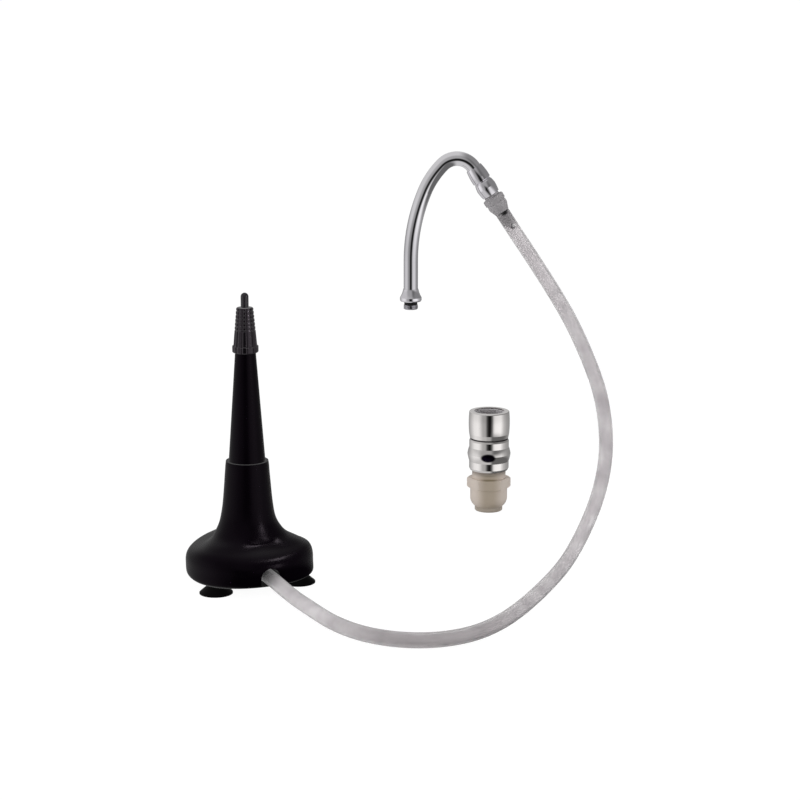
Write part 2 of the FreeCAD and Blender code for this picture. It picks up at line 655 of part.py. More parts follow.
def nozzle_body():
    foot = CONE_TOP - NOZZLE_SPIGOT_LENGTH
    body = turned(
        (RISER_RADIUS + SEAT_GAP, foot), (NOZZLE_SPIGOT, foot),
        (NOZZLE_SPIGOT, CONE_TOP), (NOZZLE_FLANGE, CONE_TOP),
        (NOZZLE_FLANGE, NOZZLE_FLANGE_TOP),
        (NOZZLE_STEM, NOZZLE_FLANGE_TOP), (NOZZLE_STEM, SNAP_HEIGHT),
        (NOZZLE_STEM - SNAP_DEPTH, SNAP_HEIGHT), (NOZZLE_STEM - SNAP_DEPTH, SNAP_HEIGHT + SNAP_WIDTH),
        (NOZZLE_STEM, SNAP_HEIGHT + SNAP_WIDTH), (NOZZLE_STEM, NOZZLE_STEM_TOP - 0.5),
        (NOZZLE_STEM - 0.5, NOZZLE_STEM_TOP), (TIP_GUIDE + RUN_GAP, NOZZLE_STEM_TOP),
        (TIP_GUIDE + RUN_GAP, NOZZLE_SEAT), (NOZZLE_PASSAGE, NOZZLE_SEAT),
        (NOZZLE_PASSAGE, NOZZLE_SEAT - NOZZLE_SEAT_THICKNESS),
        (RISER_RADIUS + SEAT_GAP, NOZZLE_SEAT - NOZZLE_SEAT_THICKNESS))
    return body.cut(riser_seal_pocket(RISER_SEAL_HEIGHT))


def valve_washer():
    return tube(TIP_GUIDE, NOZZLE_PASSAGE, NOZZLE_SEAT, NOZZLE_SEAT + VALVE_WASHER_THICKNESS)


def jet_tip():
    foot = NOZZLE_SEAT + VALVE_WASHER_THICKNESS + FACE_GAP
    crown = TIP_TOP - TIP_RADIUS
    side = TIP_RADIUS * math.sqrt(0.5)
    rim = math.sqrt(TIP_RADIUS ** 2 - TIP_BORE ** 2)
    thread_top = TIP_THREAD_FOOT + TIP_THREAD_HEIGHT
    tip = turned(
        (0, foot), (TIP_GUIDE, foot), (TIP_GUIDE, TIP_THREAD_FOOT - 1.4),
        (TIP_THREAD, TIP_THREAD_FOOT), (TIP_THREAD, thread_top),
        (TIP_RADIUS, thread_top), (TIP_RADIUS, crown),
        (TIP_BORE, crown + rim, side, crown + side),
        (TIP_BORE, foot + 6), (0, foot + 6))
    tip = tip.cut(seal_groove(TIP_SEAL, TIP_GUIDE + RUN_GAP, TIP_SEAL_HEIGHT))
    inlet = Part.makeCylinder(0.8, 2 * TIP_GUIDE + 2, V(-TIP_GUIDE - 1, 0, foot + 3.4), V(1, 0, 0))
    feed = rod(TIP_BORE, foot + 3.4, foot + 7)
    return tip.cut(inlet).cut(feed)


def tip_seal():
    return o_ring(TIP_SEAL, TIP_GUIDE + RUN_GAP, TIP_SEAL_HEIGHT)


def nozzle_cap():
    band_top = CAP_FOOT + CAP_BAND

    def side(height):
        share = (height - band_top) / (CAP_TOP - band_top)
        return CAP_FOOT_RADIUS + (CAP_TOP_RADIUS - CAP_FOOT_RADIUS) * share

    profile = [(CAP_BAND_RADIUS - CAP_SKIRT_WALL, CAP_FOOT),
               (CAP_BAND_RADIUS - CAP_ROUND, CAP_FOOT),
               (CAP_BAND_RADIUS, CAP_FOOT + CAP_ROUND),
               (CAP_BAND_RADIUS, band_top - CAP_ROUND), (CAP_FOOT_RADIUS, band_top)]
    for k in reversed(range(CAP_RIDGES)):
        top = CAP_TOP - CAP_RIDGE_DROP - CAP_RIDGE_PITCH * k
        foot = top - CAP_RIDGE_GROOVE
        profile.append((side(foot), foot))
        profile.append((side(foot) - CAP_RIDGE_DEPTH, foot + 0.3))
        profile.append((side(top) - CAP_RIDGE_DEPTH, top - 0.3))
        profile.append((side(top), top))
    thread_bore = TIP_THREAD + RUN_GAP
    thread_top = TIP_THREAD_FOOT + TIP_THREAD_HEIGHT + TIP_TRAVEL + 1.0
    stem_bore = NOZZLE_STEM + RUN_GAP
    snap_foot = SNAP_HEIGHT + FACE_GAP
    snap_top = SNAP_HEIGHT + SNAP_WIDTH - FACE_GAP
    lip = NOZZLE_STEM - SNAP_DEPTH + RUN_GAP
    shoulder = NOZZLE_FLANGE_TOP + CAP_FLANGE_GAP
    profile += [(CAP_TOP_RADIUS, CAP_TOP - CAP_ROUND), (CAP_TOP_RADIUS - CAP_ROUND, CAP_TOP),
                (TIP_RADIUS + RUN_GAP, CAP_TOP), (TIP_RADIUS + RUN_GAP, thread_top),
                (thread_bore, thread_top), (thread_bore, NOZZLE_STEM_TOP + FACE_GAP),
                (stem_bore, NOZZLE_STEM_TOP + FACE_GAP), (stem_bore, snap_top), (lip, snap_top),
                (lip, snap_foot), (stem_bore, snap_foot), (stem_bore, shoulder),
                (CAP_BAND_RADIUS - CAP_SKIRT_WALL, shoulder)]
    cap = turned(*profile)
    lean = math.degrees(math.atan2(CAP_FOOT_RADIUS - CAP_TOP_RADIUS, CAP_TOP - band_top))
    upper = rod(CAP_FLUTE_RADIUS, -1, CAP_TOP - band_top + 3)
    upper.rotate(TURN_ORIGIN, V(0, 1, 0), -lean)
    upper.translate(V(CAP_FOOT_RADIUS + CAP_FLUTE_RADIUS - CAP_FLUTE_DEPTH, 0, band_top))
    lower = rod(CAP_FLUTE_RADIUS, CAP_FOOT - 1, band_top + 1)
    lower.translate(V(CAP_BAND_RADIUS + CAP_FLUTE_RADIUS - CAP_FLUTE_DEPTH, 0, 0))
    for tool in (upper, lower):
        cap = cap.cut(Part.makeCompound(around(tool, CAP_FLUTES)))
    return cap


# Hose

def hose_points():
    """The route's corners: straight out of the stand, along the list, and straight into the plug."""
    way_out = V(math.cos(math.radians(HOSE_ANGLE)), math.sin(math.radians(HOSE_ANGLE)), 0)
    start = way_out * HOSE_START + V(0, 0, INLET_HEIGHT)
    slope = math.radians(COUPLER_SLOPE)
    way_in = V(math.cos(slope), 0, -math.sin(slope))
    end = COUPLER_PLACE + way_in * FIT_BODY_END
    return ([start, start + way_out * HOSE_STRAIGHT_IN] + [V(*p) for p in HOSE_ROUTE]
            + [end + way_in * HOSE_STRAIGHT_OUT, end])


def hose():
    points = hose_points()
    edges = []
    last = points[0]
    radii = []
    for before, corner, after in zip(points, points[1:], points[2:]):
        to_before, to_after = before - corner, after - corner
        tangent = BEND_SHARE * min(to_before.Length, to_after.Length)
        one = corner + to_before.normalize() * tangent
        two = corner + to_after.normalize() * tangent
        half = (math.pi - to_before.getAngle(to_after)) / 2
        radius = tangent / math.tan(half)
        inward = (to_before + to_after).normalize()
        middle = corner + inward * (radius / math.cos(half) - radius)
        edges.append(Part.LineSegment(last, one).toShape())
        edges.append(Part.Arc(one, middle, two).toShape())
        radii.append(round(radius))
        last = two
    edges.append(Part.LineSegment(last, points[-1]).toShape())
    path = Part.Wire(edges)
    facing = points[1] - points[0]
    solid = piped(path, HOSE_RADIUS, HOSE_BORE, points[0], facing)
    expected = math.pi * (HOSE_RADIUS ** 2 - HOSE_BORE ** 2) * path.Length
    print("hose radii", radii, "length", round(path.Length, 1),
          "volume over section times length", round(solid.Volume / expected, 5))
    return solid


# Spout

def spout_path():
    """The leg, the bends and the straight end inside the nut, as one path from the foot up."""
    slope = math.radians(COUPLER_SLOPE)
    heading = -slope
    here = COUPLER_PLACE
    way = V(math.cos(heading), 0, math.sin(heading))
    edges = [Part.LineSegment(here + way * TUBE_IN_NUT, here).toShape()]
    for radius, turn in zip(reversed(BEND_RADII), reversed(BEND_TURNS)):
        normal = V(math.sin(heading), 0, -math.cos(heading))
        centre = here + normal * radius
        arc = []
        for share in (0.5, 1.0):
            angle = heading + math.radians(turn) * share
            arc.append(centre - V(math.sin(angle), 0, -math.cos(angle)) * radius)
        edges.append(Part.Arc(here, arc[0], arc[1]).toShape())
        here = arc[1]
        heading += math.radians(turn)
    foot = V(here.x, here.y, LEG_FOOT)
    edges.append(Part.LineSegment(here, foot).toShape())
    return Part.Wire(edges), foot


SPOUT_PATH, LEG_PLACE = spout_path()
BELL_FOOT = LEG_FOOT - BELL_FLOOR
BELL_TOP = BELL_FOOT + BELL_HEIGHT
BELL_WIDEST = BELL_FOOT + BELL_WIDEST_RISE
NIPPLE_FOOT = BELL_FOOT - NIPPLE_OUT
NIPPLE_TOP = NIPPLE_FOOT + NIPPLE_LENGTH


def at_leg(shape):
    """Puts a shape made along +Z, at its own height, on the leg's axis."""
    copy = shape.copy()
    copy.translate(V(LEG_PLACE.x, LEG_PLACE.y, 0))
    return copy


def spout_tube():
    end = SPOUT_PATH.Edges[0].Vertexes[0].Point
    facing = SPOUT_PATH.Edges[0].Vertexes[1].Point - end
    return piped(SPOUT_PATH, TUBE_RADIUS, TUBE_RADIUS - TUBE_WALL, end, facing)


def base_bell():
    bore = TUBE_RADIUS + SEAT_GAP
    middle_r = (BELL_TOP_RADIUS + BELL_RADIUS) / 2 - 0.3
    middle_z = (BELL_TOP + BELL_WIDEST) / 2 - 0.6
    return at_leg(turned(
        (NIPPLE_SHANK + SEAT_GAP, BELL_FOOT), (BELL_FOOT_RADIUS, BELL_FOOT),
        (BELL_RADIUS, BELL_FOOT + 1.2), (BELL_RADIUS, BELL_WIDEST),
        (BELL_TOP_RADIUS, BELL_TOP, middle_r, middle_z),
        (bore, BELL_TOP), (bore, LEG_FOOT), (NIPPLE_SHANK + SEAT_GAP, LEG_FOOT)))


def inlet_nipple():
    end_top = NIPPLE_FOOT + NIPPLE_END_HEIGHT
    return at_leg(turned(
        (NIPPLE_BORE, NIPPLE_FOOT), (NIPPLE_RADIUS - 0.6, NIPPLE_FOOT),
        (NIPPLE_RADIUS, NIPPLE_FOOT + 0.6), (NIPPLE_RADIUS, end_top),
        (NIPPLE_SHANK, end_top), (NIPPLE_SHANK, LEG_FOOT),
        (TUBE_RADIUS - TUBE_WALL - SEAT_GAP, LEG_FOOT),
        (TUBE_RADIUS - TUBE_WALL - SEAT_GAP, NIPPLE_TOP), (NIPPLE_BORE, NIPPLE_TOP)))


def nipple_gasket():
    return at_leg(tube(GASKET_RADIUS, NIPPLE_SHANK + RUBBER_GAP,
                       NIPPLE_FOOT + NIPPLE_END_HEIGHT, BELL_FOOT))


# Fitted coupler

def outlet_nut():
    web_foot = TUBE_IN_NUT
    web_end = web_foot + FIT_NUT_WEB
    middle_r = (FIT_NUT_TOP_RADIUS + FIT_NUT_RADIUS) / 2 + 0.25
    return on_fitted_axis(turned(
        (TUBE_RADIUS + SEAT_GAP, 0), (FIT_NUT_TOP_RADIUS, 0),
        (FIT_NUT_RADIUS, FIT_NUT_WIDEST, middle_r, FIT_NUT_WIDEST / 2),
        (FIT_NUT_RADIUS, FIT_NUT_LENGTH - FIT_NUT_EDGE),
        (FIT_NUT_RADIUS - FIT_NUT_EDGE, FIT_NUT_LENGTH), (FIT_NUT_THREAD, FIT_NUT_LENGTH),
        (FIT_NUT_THREAD, web_end), (FIT_NUT_PASSAGE, web_end),
        (FIT_NUT_PASSAGE, web_foot), (TUBE_RADIUS + SEAT_GAP, web_foot)))


def outlet_washer():
    start = TUBE_IN_NUT + FIT_NUT_WEB
    return on_fitted_axis(tube(FIT_NUT_THREAD - SEAT_GAP, FIT_WASHER_BORE,
                               start, start + FIT_WASHER_THICKNESS))


def with_ball_holes(socket, place, ball, count, wall):
    hole = Part.makeCylinder(ball + RUN_GAP, 3 * wall, V(0, 0, place), V(1, 0, 0))
    for copy in around(hole, count, 180.0 / count):
        socket = socket.cut(copy)
    return socket


def fitted_socket():
    start = TUBE_IN_NUT + FIT_NUT_WEB + FIT_WASHER_THICKNESS
    thread = FIT_NUT_THREAD - SEAT_GAP
    socket = turned(
        (FIT_PASSAGE, start), (thread, start), (thread, FIT_NUT_LENGTH),
        (FIT_BARREL, FIT_NUT_LENGTH), (FIT_BARREL, FIT_END), (FIT_BORE, FIT_END),
        (FIT_BORE, FIT_BORE_START), (FIT_PASSAGE, FIT_BORE_START))
    socket = with_ball_holes(socket, FIT_BALL_PLACE, FIT_BALL, FIT_BALLS, FIT_BARREL)
    ring_foot = FIT_END - 2 * FIT_RING_WIDTH
    groove = tube(FIT_BARREL + 1, FIT_BARREL - 0.3, ring_foot - SEAT_GAP,
                  ring_foot + FIT_RING_WIDTH + SEAT_GAP)
    return on_fitted_axis(socket.cut(groove))


def locking_balls(ball, land, place, count):
    """Balls held out against the sleeve's land, between the holes' walls."""
    centre = land - RUN_GAP - ball
    sphere = Part.makeSphere(ball, V(centre, 0, place))
    return Part.makeCompound(around(sphere, count, 180.0 / count))


def ball_groove(ball, land, place, spigot):
    """The round groove in the plug that the balls drop into."""
    centre = land - RUN_GAP - ball
    gap = 0.15
    groove = Part.makeTorus(centre, ball + gap, V(0, 0, place))
    return groove.common(rod(spigot + 1, place - ball - 1, place + ball + 1))


def release_recess(land, pocket, place, ball, travel):
    """The room behind the sleeve's land that lets the balls out once the sleeve has moved."""
    return tube(pocket, land - 0.5, place - ball - travel, place - ball)


def fitted_sleeve():
    land = FIT_BARREL + RUN_GAP
    land_end = FIT_BALL_PLACE + FIT_BALL
    lead = FIT_SLEEVE_START + 1.2
    middle_r = (FIT_SLEEVE_RADIUS + FIT_SLEEVE_BULGE) / 2 + 0.2
    sleeve = turned(
        (land, FIT_SLEEVE_START), (FIT_SLEEVE_RADIUS - 0.6, FIT_SLEEVE_START),
        (FIT_SLEEVE_RADIUS, lead),
        (FIT_SLEEVE_BULGE, FIT_SLEEVE_WIDEST, middle_r, (lead + FIT_SLEEVE_WIDEST) / 2),
        (FIT_SLEEVE_END_RADIUS, FIT_SLEEVE_END,
         (FIT_SLEEVE_BULGE + FIT_SLEEVE_END_RADIUS) / 2 + 0.1,
         (FIT_SLEEVE_WIDEST + FIT_SLEEVE_END) / 2),
        (FIT_POCKET, FIT_SLEEVE_END), (FIT_POCKET, land_end), (land, land_end))
    recess = release_recess(land, FIT_POCKET, FIT_BALL_PLACE, FIT_BALL, FIT_TRAVEL)
    return on_fitted_axis(sleeve.cut(recess))


def spring_ring(barrel, radius, end, width):
    """The ring that keeps the spring on the barrel, sprung into its groove."""
    foot = end - 2 * width
    return tube(radius, barrel - 0.3 + SEAT_GAP, foot, foot + width)


def fitted_spring_ring():
    return on_fitted_axis(spring_ring(FIT_BARREL, FIT_RING_RADIUS, FIT_END, FIT_RING_WIDTH))


def fitted_spring():
    radius = (FIT_BARREL + FIT_POCKET) / 2
    return on_fitted_axis(coil(FIT_SPRING_WIRE, radius, FIT_BALL_PLACE + FIT_BALL,
                               FIT_END - 2 * FIT_RING_WIDTH, FIT_SPRING_TURNS))


def fitted_balls():
    return on_fitted_axis(locking_balls(FIT_BALL, FIT_BARREL + RUN_GAP, FIT_BALL_PLACE, FIT_BALLS))


def fitted_plug():
    spigot = FIT_BORE - RUN_GAP
    shoulder = FIT_END + FACE_GAP
    plug = turned(
        (BARB_BORE, FIT_PLUG_TIP), (spigot - 0.6, FIT_PLUG_TIP), (spigot, FIT_PLUG_TIP + 0.6),
        (spigot, shoulder), (FIT_NECK - 0.4, shoulder), (FIT_NECK, shoulder + 0.6),
        (FIT_NECK, FIT_HEX_START), (FIT_BODY - 0.8, FIT_HEX_END),
        (FIT_BODY_END_RADIUS + 1.6, FIT_BODY_BEND + 3.4, FIT_BODY - 0.1, FIT_BODY_BEND),
        (FIT_BODY_END_RADIUS, FIT_BODY_END), (BARB_BORE, FIT_BODY_END))
    plug = plug.fuse(hexagon(FIT_HEX_FLATS, FIT_HEX_START, FIT_HEX_END, FIT_HEX_CHAMFER)
                     .cut(rod(BARB_BORE, 0, FIT_BODY_END)))
    plug = plug.fuse(barbs(FIT_BODY_END, BARB_LENGTH))
    plug = plug.cut(seal_groove(FIT_PLUG_SEAL, FIT_BORE, FIT_PLUG_SEAL_PLACE))
    plug = plug.cut(ball_groove(FIT_BALL, FIT_BARREL + RUN_GAP, FIT_BALL_PLACE, spigot))
    return on_fitted_axis(plug)


def fitted_plug_seal():
    return on_fitted_axis(o_ring(FIT_PLUG_SEAL, FIT_BORE, FIT_PLUG_SEAL_PLACE))


# Loose coupler

def loose_socket():
    bevel_start = LOOSE_HEAD_END - LOOSE_HEAD_BEVEL
    swell = LOOSE_HEAD_RADIUS + LOOSE_HEAD_SWELL
    web_end = LOOSE_THREAD_DEPTH + LOOSE_WASHER_THICKNESS
    socket = turned(
        (LOOSE_THREAD, 0), (LOOSE_HEAD_RADIUS - LOOSE_EDGE, 0),
        (LOOSE_HEAD_RADIUS, LOOSE_EDGE, LOOSE_HEAD_RADIUS - 0.3 * LOOSE_EDGE, 0.3 * LOOSE_EDGE),
        (LOOSE_HEAD_RADIUS, bevel_start, swell, (LOOSE_EDGE + bevel_start) / 2),
        (LOOSE_HEAD_RADIUS - LOOSE_HEAD_BEVEL_DEPTH, LOOSE_HEAD_END),
        (LOOSE_BARREL, LOOSE_HEAD_END), (LOOSE_BARREL, LOOSE_END), (LOOSE_BORE, LOOSE_END),
        (LOOSE_BORE, LOOSE_BORE_START), (LOOSE_PASSAGE, LOOSE_BORE_START),
        (LOOSE_PASSAGE, web_end), (LOOSE_WASHER_RADIUS + SEAT_GAP, web_end),
        (LOOSE_WASHER_RADIUS + SEAT_GAP, LOOSE_THREAD_DEPTH), (LOOSE_THREAD, LOOSE_THREAD_DEPTH))
    socket = with_ball_holes(socket, LOOSE_BALL_PLACE, LOOSE_BALL, LOOSE_BALLS, LOOSE_BARREL)
    ring_foot = LOOSE_END - 2 * LOOSE_RING_WIDTH
    groove = tube(LOOSE_BARREL + 1, LOOSE_BARREL - 0.3, ring_foot - SEAT_GAP,
                  ring_foot + LOOSE_RING_WIDTH + SEAT_GAP)
    return on_loose_axis(socket.cut(groove))


def loose_washer():
    return on_loose_axis(tube(LOOSE_WASHER_RADIUS, LOOSE_WASHER_BORE, LOOSE_THREAD_DEPTH,
                              LOOSE_THREAD_DEPTH + LOOSE_WASHER_THICKNESS))


def loose_sleeve():
    land = LOOSE_BARREL + RUN_GAP
    land_end = LOOSE_BALL_PLACE + LOOSE_BALL
    lead = LOOSE_SLEEVE_START + LOOSE_SLEEVE_BEVEL
    step_in = LOOSE_SLEEVE_END_RADIUS - LOOSE_SLEEVE_BEVEL_DEPTH
    swell_r = LOOSE_SLEEVE_RADIUS + 0.62 * (LOOSE_SLEEVE_BULGE - LOOSE_SLEEVE_RADIUS)
    narrow_r = LOOSE_SLEEVE_END_RADIUS + 0.62 * (LOOSE_SLEEVE_BULGE - LOOSE_SLEEVE_END_RADIUS)
    sleeve = turned(
        (land, LOOSE_SLEEVE_START),
        (LOOSE_SLEEVE_RADIUS - LOOSE_SLEEVE_BEVEL_DEPTH, LOOSE_SLEEVE_START),
        (LOOSE_SLEEVE_RADIUS, lead), (LOOSE_SLEEVE_RADIUS, LOOSE_SLEEVE_SWELL),
        (LOOSE_SLEEVE_BULGE, LOOSE_SLEEVE_WIDEST,
         swell_r, (LOOSE_SLEEVE_SWELL + LOOSE_SLEEVE_WIDEST) / 2),
        (LOOSE_SLEEVE_END_RADIUS, LOOSE_SLEEVE_STEP,
         narrow_r, (LOOSE_SLEEVE_WIDEST + LOOSE_SLEEVE_STEP) / 2),
        (LOOSE_SLEEVE_END_RADIUS, LOOSE_SLEEVE_END - LOOSE_SLEEVE_BEVEL),
        (step_in, LOOSE_SLEEVE_END), (LOOSE_POCKET, LOOSE_SLEEVE_END),
        (LOOSE_POCKET, land_end), (land, land_end))
    recess = release_recess(land, LOOSE_POCKET, LOOSE_BALL_PLACE, LOOSE_BALL, LOOSE_TRAVEL)
    return on_loose_axis(sleeve.cut(recess))


def loose_spring_ring():
    return on_loose_axis(spring_ring(LOOSE_BARREL, LOOSE_RING_RADIUS, LOOSE_END, LOOSE_RING_WIDTH))


def loose_spring():
    radius = (LOOSE_BARREL + LOOSE_POCKET) / 2
    return on_loose_axis(coil(LOOSE_SPRING_WIRE, radius, LOOSE_BALL_PLACE + LOOSE_BALL,
                              LOOSE_END - 2 * LOOSE_RING_WIDTH, LOOSE_SPRING_TURNS))


def loose_balls():
    return on_loose_axis(locking_balls(LOOSE_BALL, LOOSE_BARREL + RUN_GAP,
                                       LOOSE_BALL_PLACE, LOOSE_BALLS))


def loose_plug():
    spigot = LOOSE_BORE - RUN_GAP
    shoulder = LOOSE_END + FACE_GAP
    collet_floor = LOOSE_BODY_END - LOOSE_COLLET_SEAT
    plug = turned(
        (LOOSE_PLUG_BORE, LOOSE_PLUG_TIP), (spigot - 1.2, LOOSE_PLUG_TIP),
        (spigot, LOOSE_PLUG_TIP + 1.2), (spigot, shoulder), (LOOSE_NECK, shoulder),
        (LOOSE_NECK, LOOSE_HEX_START), (LOOSE_BODY, LOOSE_HEX_START), (LOOSE_BODY, LOOSE_BODY_BEND),
        (LOOSE_BODY_END_RADIUS, LOOSE_BODY_END,
         LOOSE_BODY - 1.5, (LOOSE_BODY_BEND + LOOSE_BODY_END) / 2 + 0.6),
        (LOOSE_COLLET_SHANK + SEAT_GAP, LOOSE_BODY_END),
        (LOOSE_COLLET_SHANK + SEAT_GAP, collet_floor), (LOOSE_PLUG_BORE, collet_floor))
    plug = plug.fuse(hexagon(LOOSE_HEX_FLATS, LOOSE_HEX_START, LOOSE_HEX_END, LOOSE_HEX_CHAMFER)
                     .cut(rod(LOOSE_PLUG_BORE, 0, LOOSE_HEIGHT)))
    plug = plug.cut(seal_groove(LOOSE_PLUG_SEAL, LOOSE_BORE, LOOSE_PLUG_SEAL_PLACE))
    plug = plug.cut(ball_groove(LOOSE_BALL, LOOSE_BARREL + RUN_GAP, LOOSE_BALL_PLACE, spigot))
    return on_loose_axis(plug)


def loose_plug_seal():
    return on_loose_axis(o_ring(LOOSE_PLUG_SEAL, LOOSE_BORE, LOOSE_PLUG_SEAL_PLACE))


def collet_ring():
    collet_floor = LOOSE_BODY_END - LOOSE_COLLET_SEAT
    return on_loose_axis(turned(
        (LOOSE_COLLET_BORE, collet_floor), (LOOSE_COLLET_SHANK, collet_floor),
        (LOOSE_COLLET_SHANK, LOOSE_BODY_END), (LOOSE_COLLET, LOOSE_BODY_END),
        (LOOSE_COLLET, LOOSE_HEIGHT - 0.8), (LOOSE_COLLET - 0.8, LOOSE_HEIGHT),
        (LOOSE_COLLET_BORE, LOOSE_HEIGHT)))


nodes = {
    "base_shell": base_shell(),
    "base_cover": base_cover(),
    "base_screws": base_screws(),
    "inlet_elbow": inlet_elbow(),
    "elbow_screws": elbow_screws(),
    "elbow_o_ring": riser_seal(ELBOW_SEAL_HEIGHT),
    "riser_tube": riser_tube(),
    "riser_o_ring": riser_seal(RISER_SEAL_HEIGHT),
    "upper_cone": upper_cone(),
    "cone_o_ring": cone_seal(),
    "nozzle_body": nozzle_body(),
    "valve_washer": valve_washer(),
    "nozzle_cap": nozzle_cap(),
    "jet_tip": jet_tip(),
    "tip_o_ring": tip_seal(),
    "hose": hose(),
    "spout_tube": spout_tube(),
    "base_bell": base_bell(),
    "inlet_nipple": inlet_nipple(),
    "nipple_gasket": nipple_gasket(),
    "outlet_nut": outlet_nut(),
    "outlet_washer": outlet_washer(),
    "fitted_socket": fitted_socket(),
    "fitted_sleeve": fitted_sleeve(),
    "fitted_spring": fitted_spring(),
    "fitted_spring_ring": fitted_spring_ring(),
    "fitted_balls": fitted_balls(),
    "fitted_plug": fitted_plug(),
    "fitted_plug_o_ring": fitted_plug_seal(),
    "loose_socket": loose_socket(),
    "loose_washer": loose_washer(),
    "loose_sleeve": loose_sleeve(),
    "loose_spring": loose_spring(),
    "loose_spring_ring": loose_spring_ring(),
    "loose_balls": loose_balls(),
    "loose_plug": loose_plug(),
    "loose_plug_o_ring": loose_plug_seal(),
    "collet_ring": collet_ring(),
}
for place, angle in CUP_ANGLES.items():
    nodes["suction_cup_" + place] = suction_cup(angle)

for name, shape in nodes.items():
    box = shape.BoundBox
    print(name, "valid" if shape.isValid() else "INVALID", "solids", len(shape.Solids),
          "volume", round(shape.Volume, 1),
          "low", [round(v, 1) for v in (box.XMin, box.YMin, box.ZMin)],
          "high", [round(v, 1) for v in (box.XMax, box.YMax, box.ZMax)])
    shape.exportStep("parts/" + name + ".step")
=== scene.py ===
import json
import math

import bmesh
import bpy
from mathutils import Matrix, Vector

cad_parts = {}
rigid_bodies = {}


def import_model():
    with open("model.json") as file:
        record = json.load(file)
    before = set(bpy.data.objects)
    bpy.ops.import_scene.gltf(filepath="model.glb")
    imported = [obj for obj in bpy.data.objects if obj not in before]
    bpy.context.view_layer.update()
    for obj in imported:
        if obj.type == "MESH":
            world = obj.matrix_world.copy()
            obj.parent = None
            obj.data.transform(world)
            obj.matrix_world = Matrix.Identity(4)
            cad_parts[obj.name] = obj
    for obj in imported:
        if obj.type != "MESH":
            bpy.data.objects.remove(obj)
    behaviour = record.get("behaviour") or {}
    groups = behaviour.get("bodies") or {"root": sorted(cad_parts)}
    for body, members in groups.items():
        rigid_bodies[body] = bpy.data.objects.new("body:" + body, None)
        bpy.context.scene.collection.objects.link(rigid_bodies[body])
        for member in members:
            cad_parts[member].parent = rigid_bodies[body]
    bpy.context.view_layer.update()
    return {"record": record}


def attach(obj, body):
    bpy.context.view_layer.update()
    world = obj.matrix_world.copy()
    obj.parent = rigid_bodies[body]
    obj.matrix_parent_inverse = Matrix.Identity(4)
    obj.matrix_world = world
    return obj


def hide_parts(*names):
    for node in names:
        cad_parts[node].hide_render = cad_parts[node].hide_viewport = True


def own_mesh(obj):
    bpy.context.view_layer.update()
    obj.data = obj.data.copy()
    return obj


# The dressed look of the rinsing set: clear hose, chrome spout and couplers, black stand.
# Everything is in metres, in the frame of the solids: the stand's axis at the origin, +Z up.

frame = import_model()

# Camera
CAMERA_PLACE = (0.156, -2.1109, 0.6472)
CAMERA_DOWN = 12.2
CAMERA_LENS = 95.84
CAMERA_SENSOR = 36.0
CAMERA_REACH = 100.0

# Fitted coupler: its place at the spout's mouth, and its way down to the hose
COUPLER_PLACE = Vector((0.2323, 0.095, 0.4163))
COUPLER_SLOPE = math.radians(57.0)
COUPLER_WAY = Vector((math.cos(COUPLER_SLOPE), 0, -math.sin(COUPLER_SLOPE)))
PLUG_END = 0.0543

# Hose, from the stand's elbow over the floor and up to the fitted coupler's plug
HOSE_RADIUS = 0.0075
HOSE_BORE = 0.005
HOSE_SIDES = 40
HOSE_STEPS = 10
HOSE_POINT_GAP = 0.0005
HOSE_ANGLE = math.radians(-65.6)
HOSE_START = 0.012
INLET_HEIGHT = 0.020
HOSE_STRAIGHT_IN = 0.026
HOSE_STRAIGHT_OUT = 0.026
HOSE_ROUTE = [
    (0.0256, -0.0565, 0.0208), (0.0485, -0.0899, 0.0118), (0.0690, -0.1190, 0.0076),
    (0.0900, -0.1600, 0.0075), (0.1180, -0.1940, 0.0075), (0.1520, -0.2130, 0.0075),
    (0.1890, -0.2150, 0.0075), (0.2240, -0.1995, 0.0082), (0.2520, -0.1665, 0.0090),
    (0.2770, -0.1135, 0.0082), (0.3050, -0.0400, 0.0075), (0.3300, 0.0180, 0.0148),
    (0.3500, 0.0520, 0.0385), (0.3660, 0.0750, 0.0690), (0.3750, 0.0900, 0.1040),
    (0.3750, 0.0950, 0.1410), (0.3680, 0.0950, 0.1800), (0.3530, 0.0950, 0.2190),
    (0.3360, 0.0950, 0.2550), (0.3170, 0.0950, 0.2870), (0.2930, 0.0950, 0.3240),
]

# Threads: the surface's radius, the ridge's root and crest measured from it, its span and pitch
NIPPLE_PLACE = Vector((0.16733, 0.095, 0.0))
NIPPLE_RADIUS = 0.0072
NIPPLE_RIDGE = (-0.0001, 0.0004)
NIPPLE_THREAD = (0.2683, 0.2727)
NIPPLE_PITCH = 0.0011
LOOSE_PLACE = Vector((0.2588, 0.2813, 0.0))
MOUTH_RADIUS = 0.0175
MOUTH_RIDGE = (0.0001, -0.0006)
MOUTH_THREAD = (0.1035, 0.1160)
MOUTH_PITCH = 0.0016

# Section of a thread's ridge: height in pitches, and 0 at its root or 1 at its crest
THREAD_SECTION = ((-0.42, 0.0), (-0.10, 1.0), (0.10, 1.0), (0.42, 0.0))
THREAD_SIDES = 72

# Share of a turn over which a ridge runs out at each end
THREAD_RUNOUT = 0.25

# Patches and grain of the surfaces, and the part of a noise's range that counts
PATCH_DETAIL = 3.0
GRAIN_DETAIL = 4.0
GRAIN_STRENGTH = 0.5
NOISE_SPAN = (0.3, 0.7)

# Reach of a shade whose fade is counted in metres
EVEN = (1.0, 1.0, 1.0)

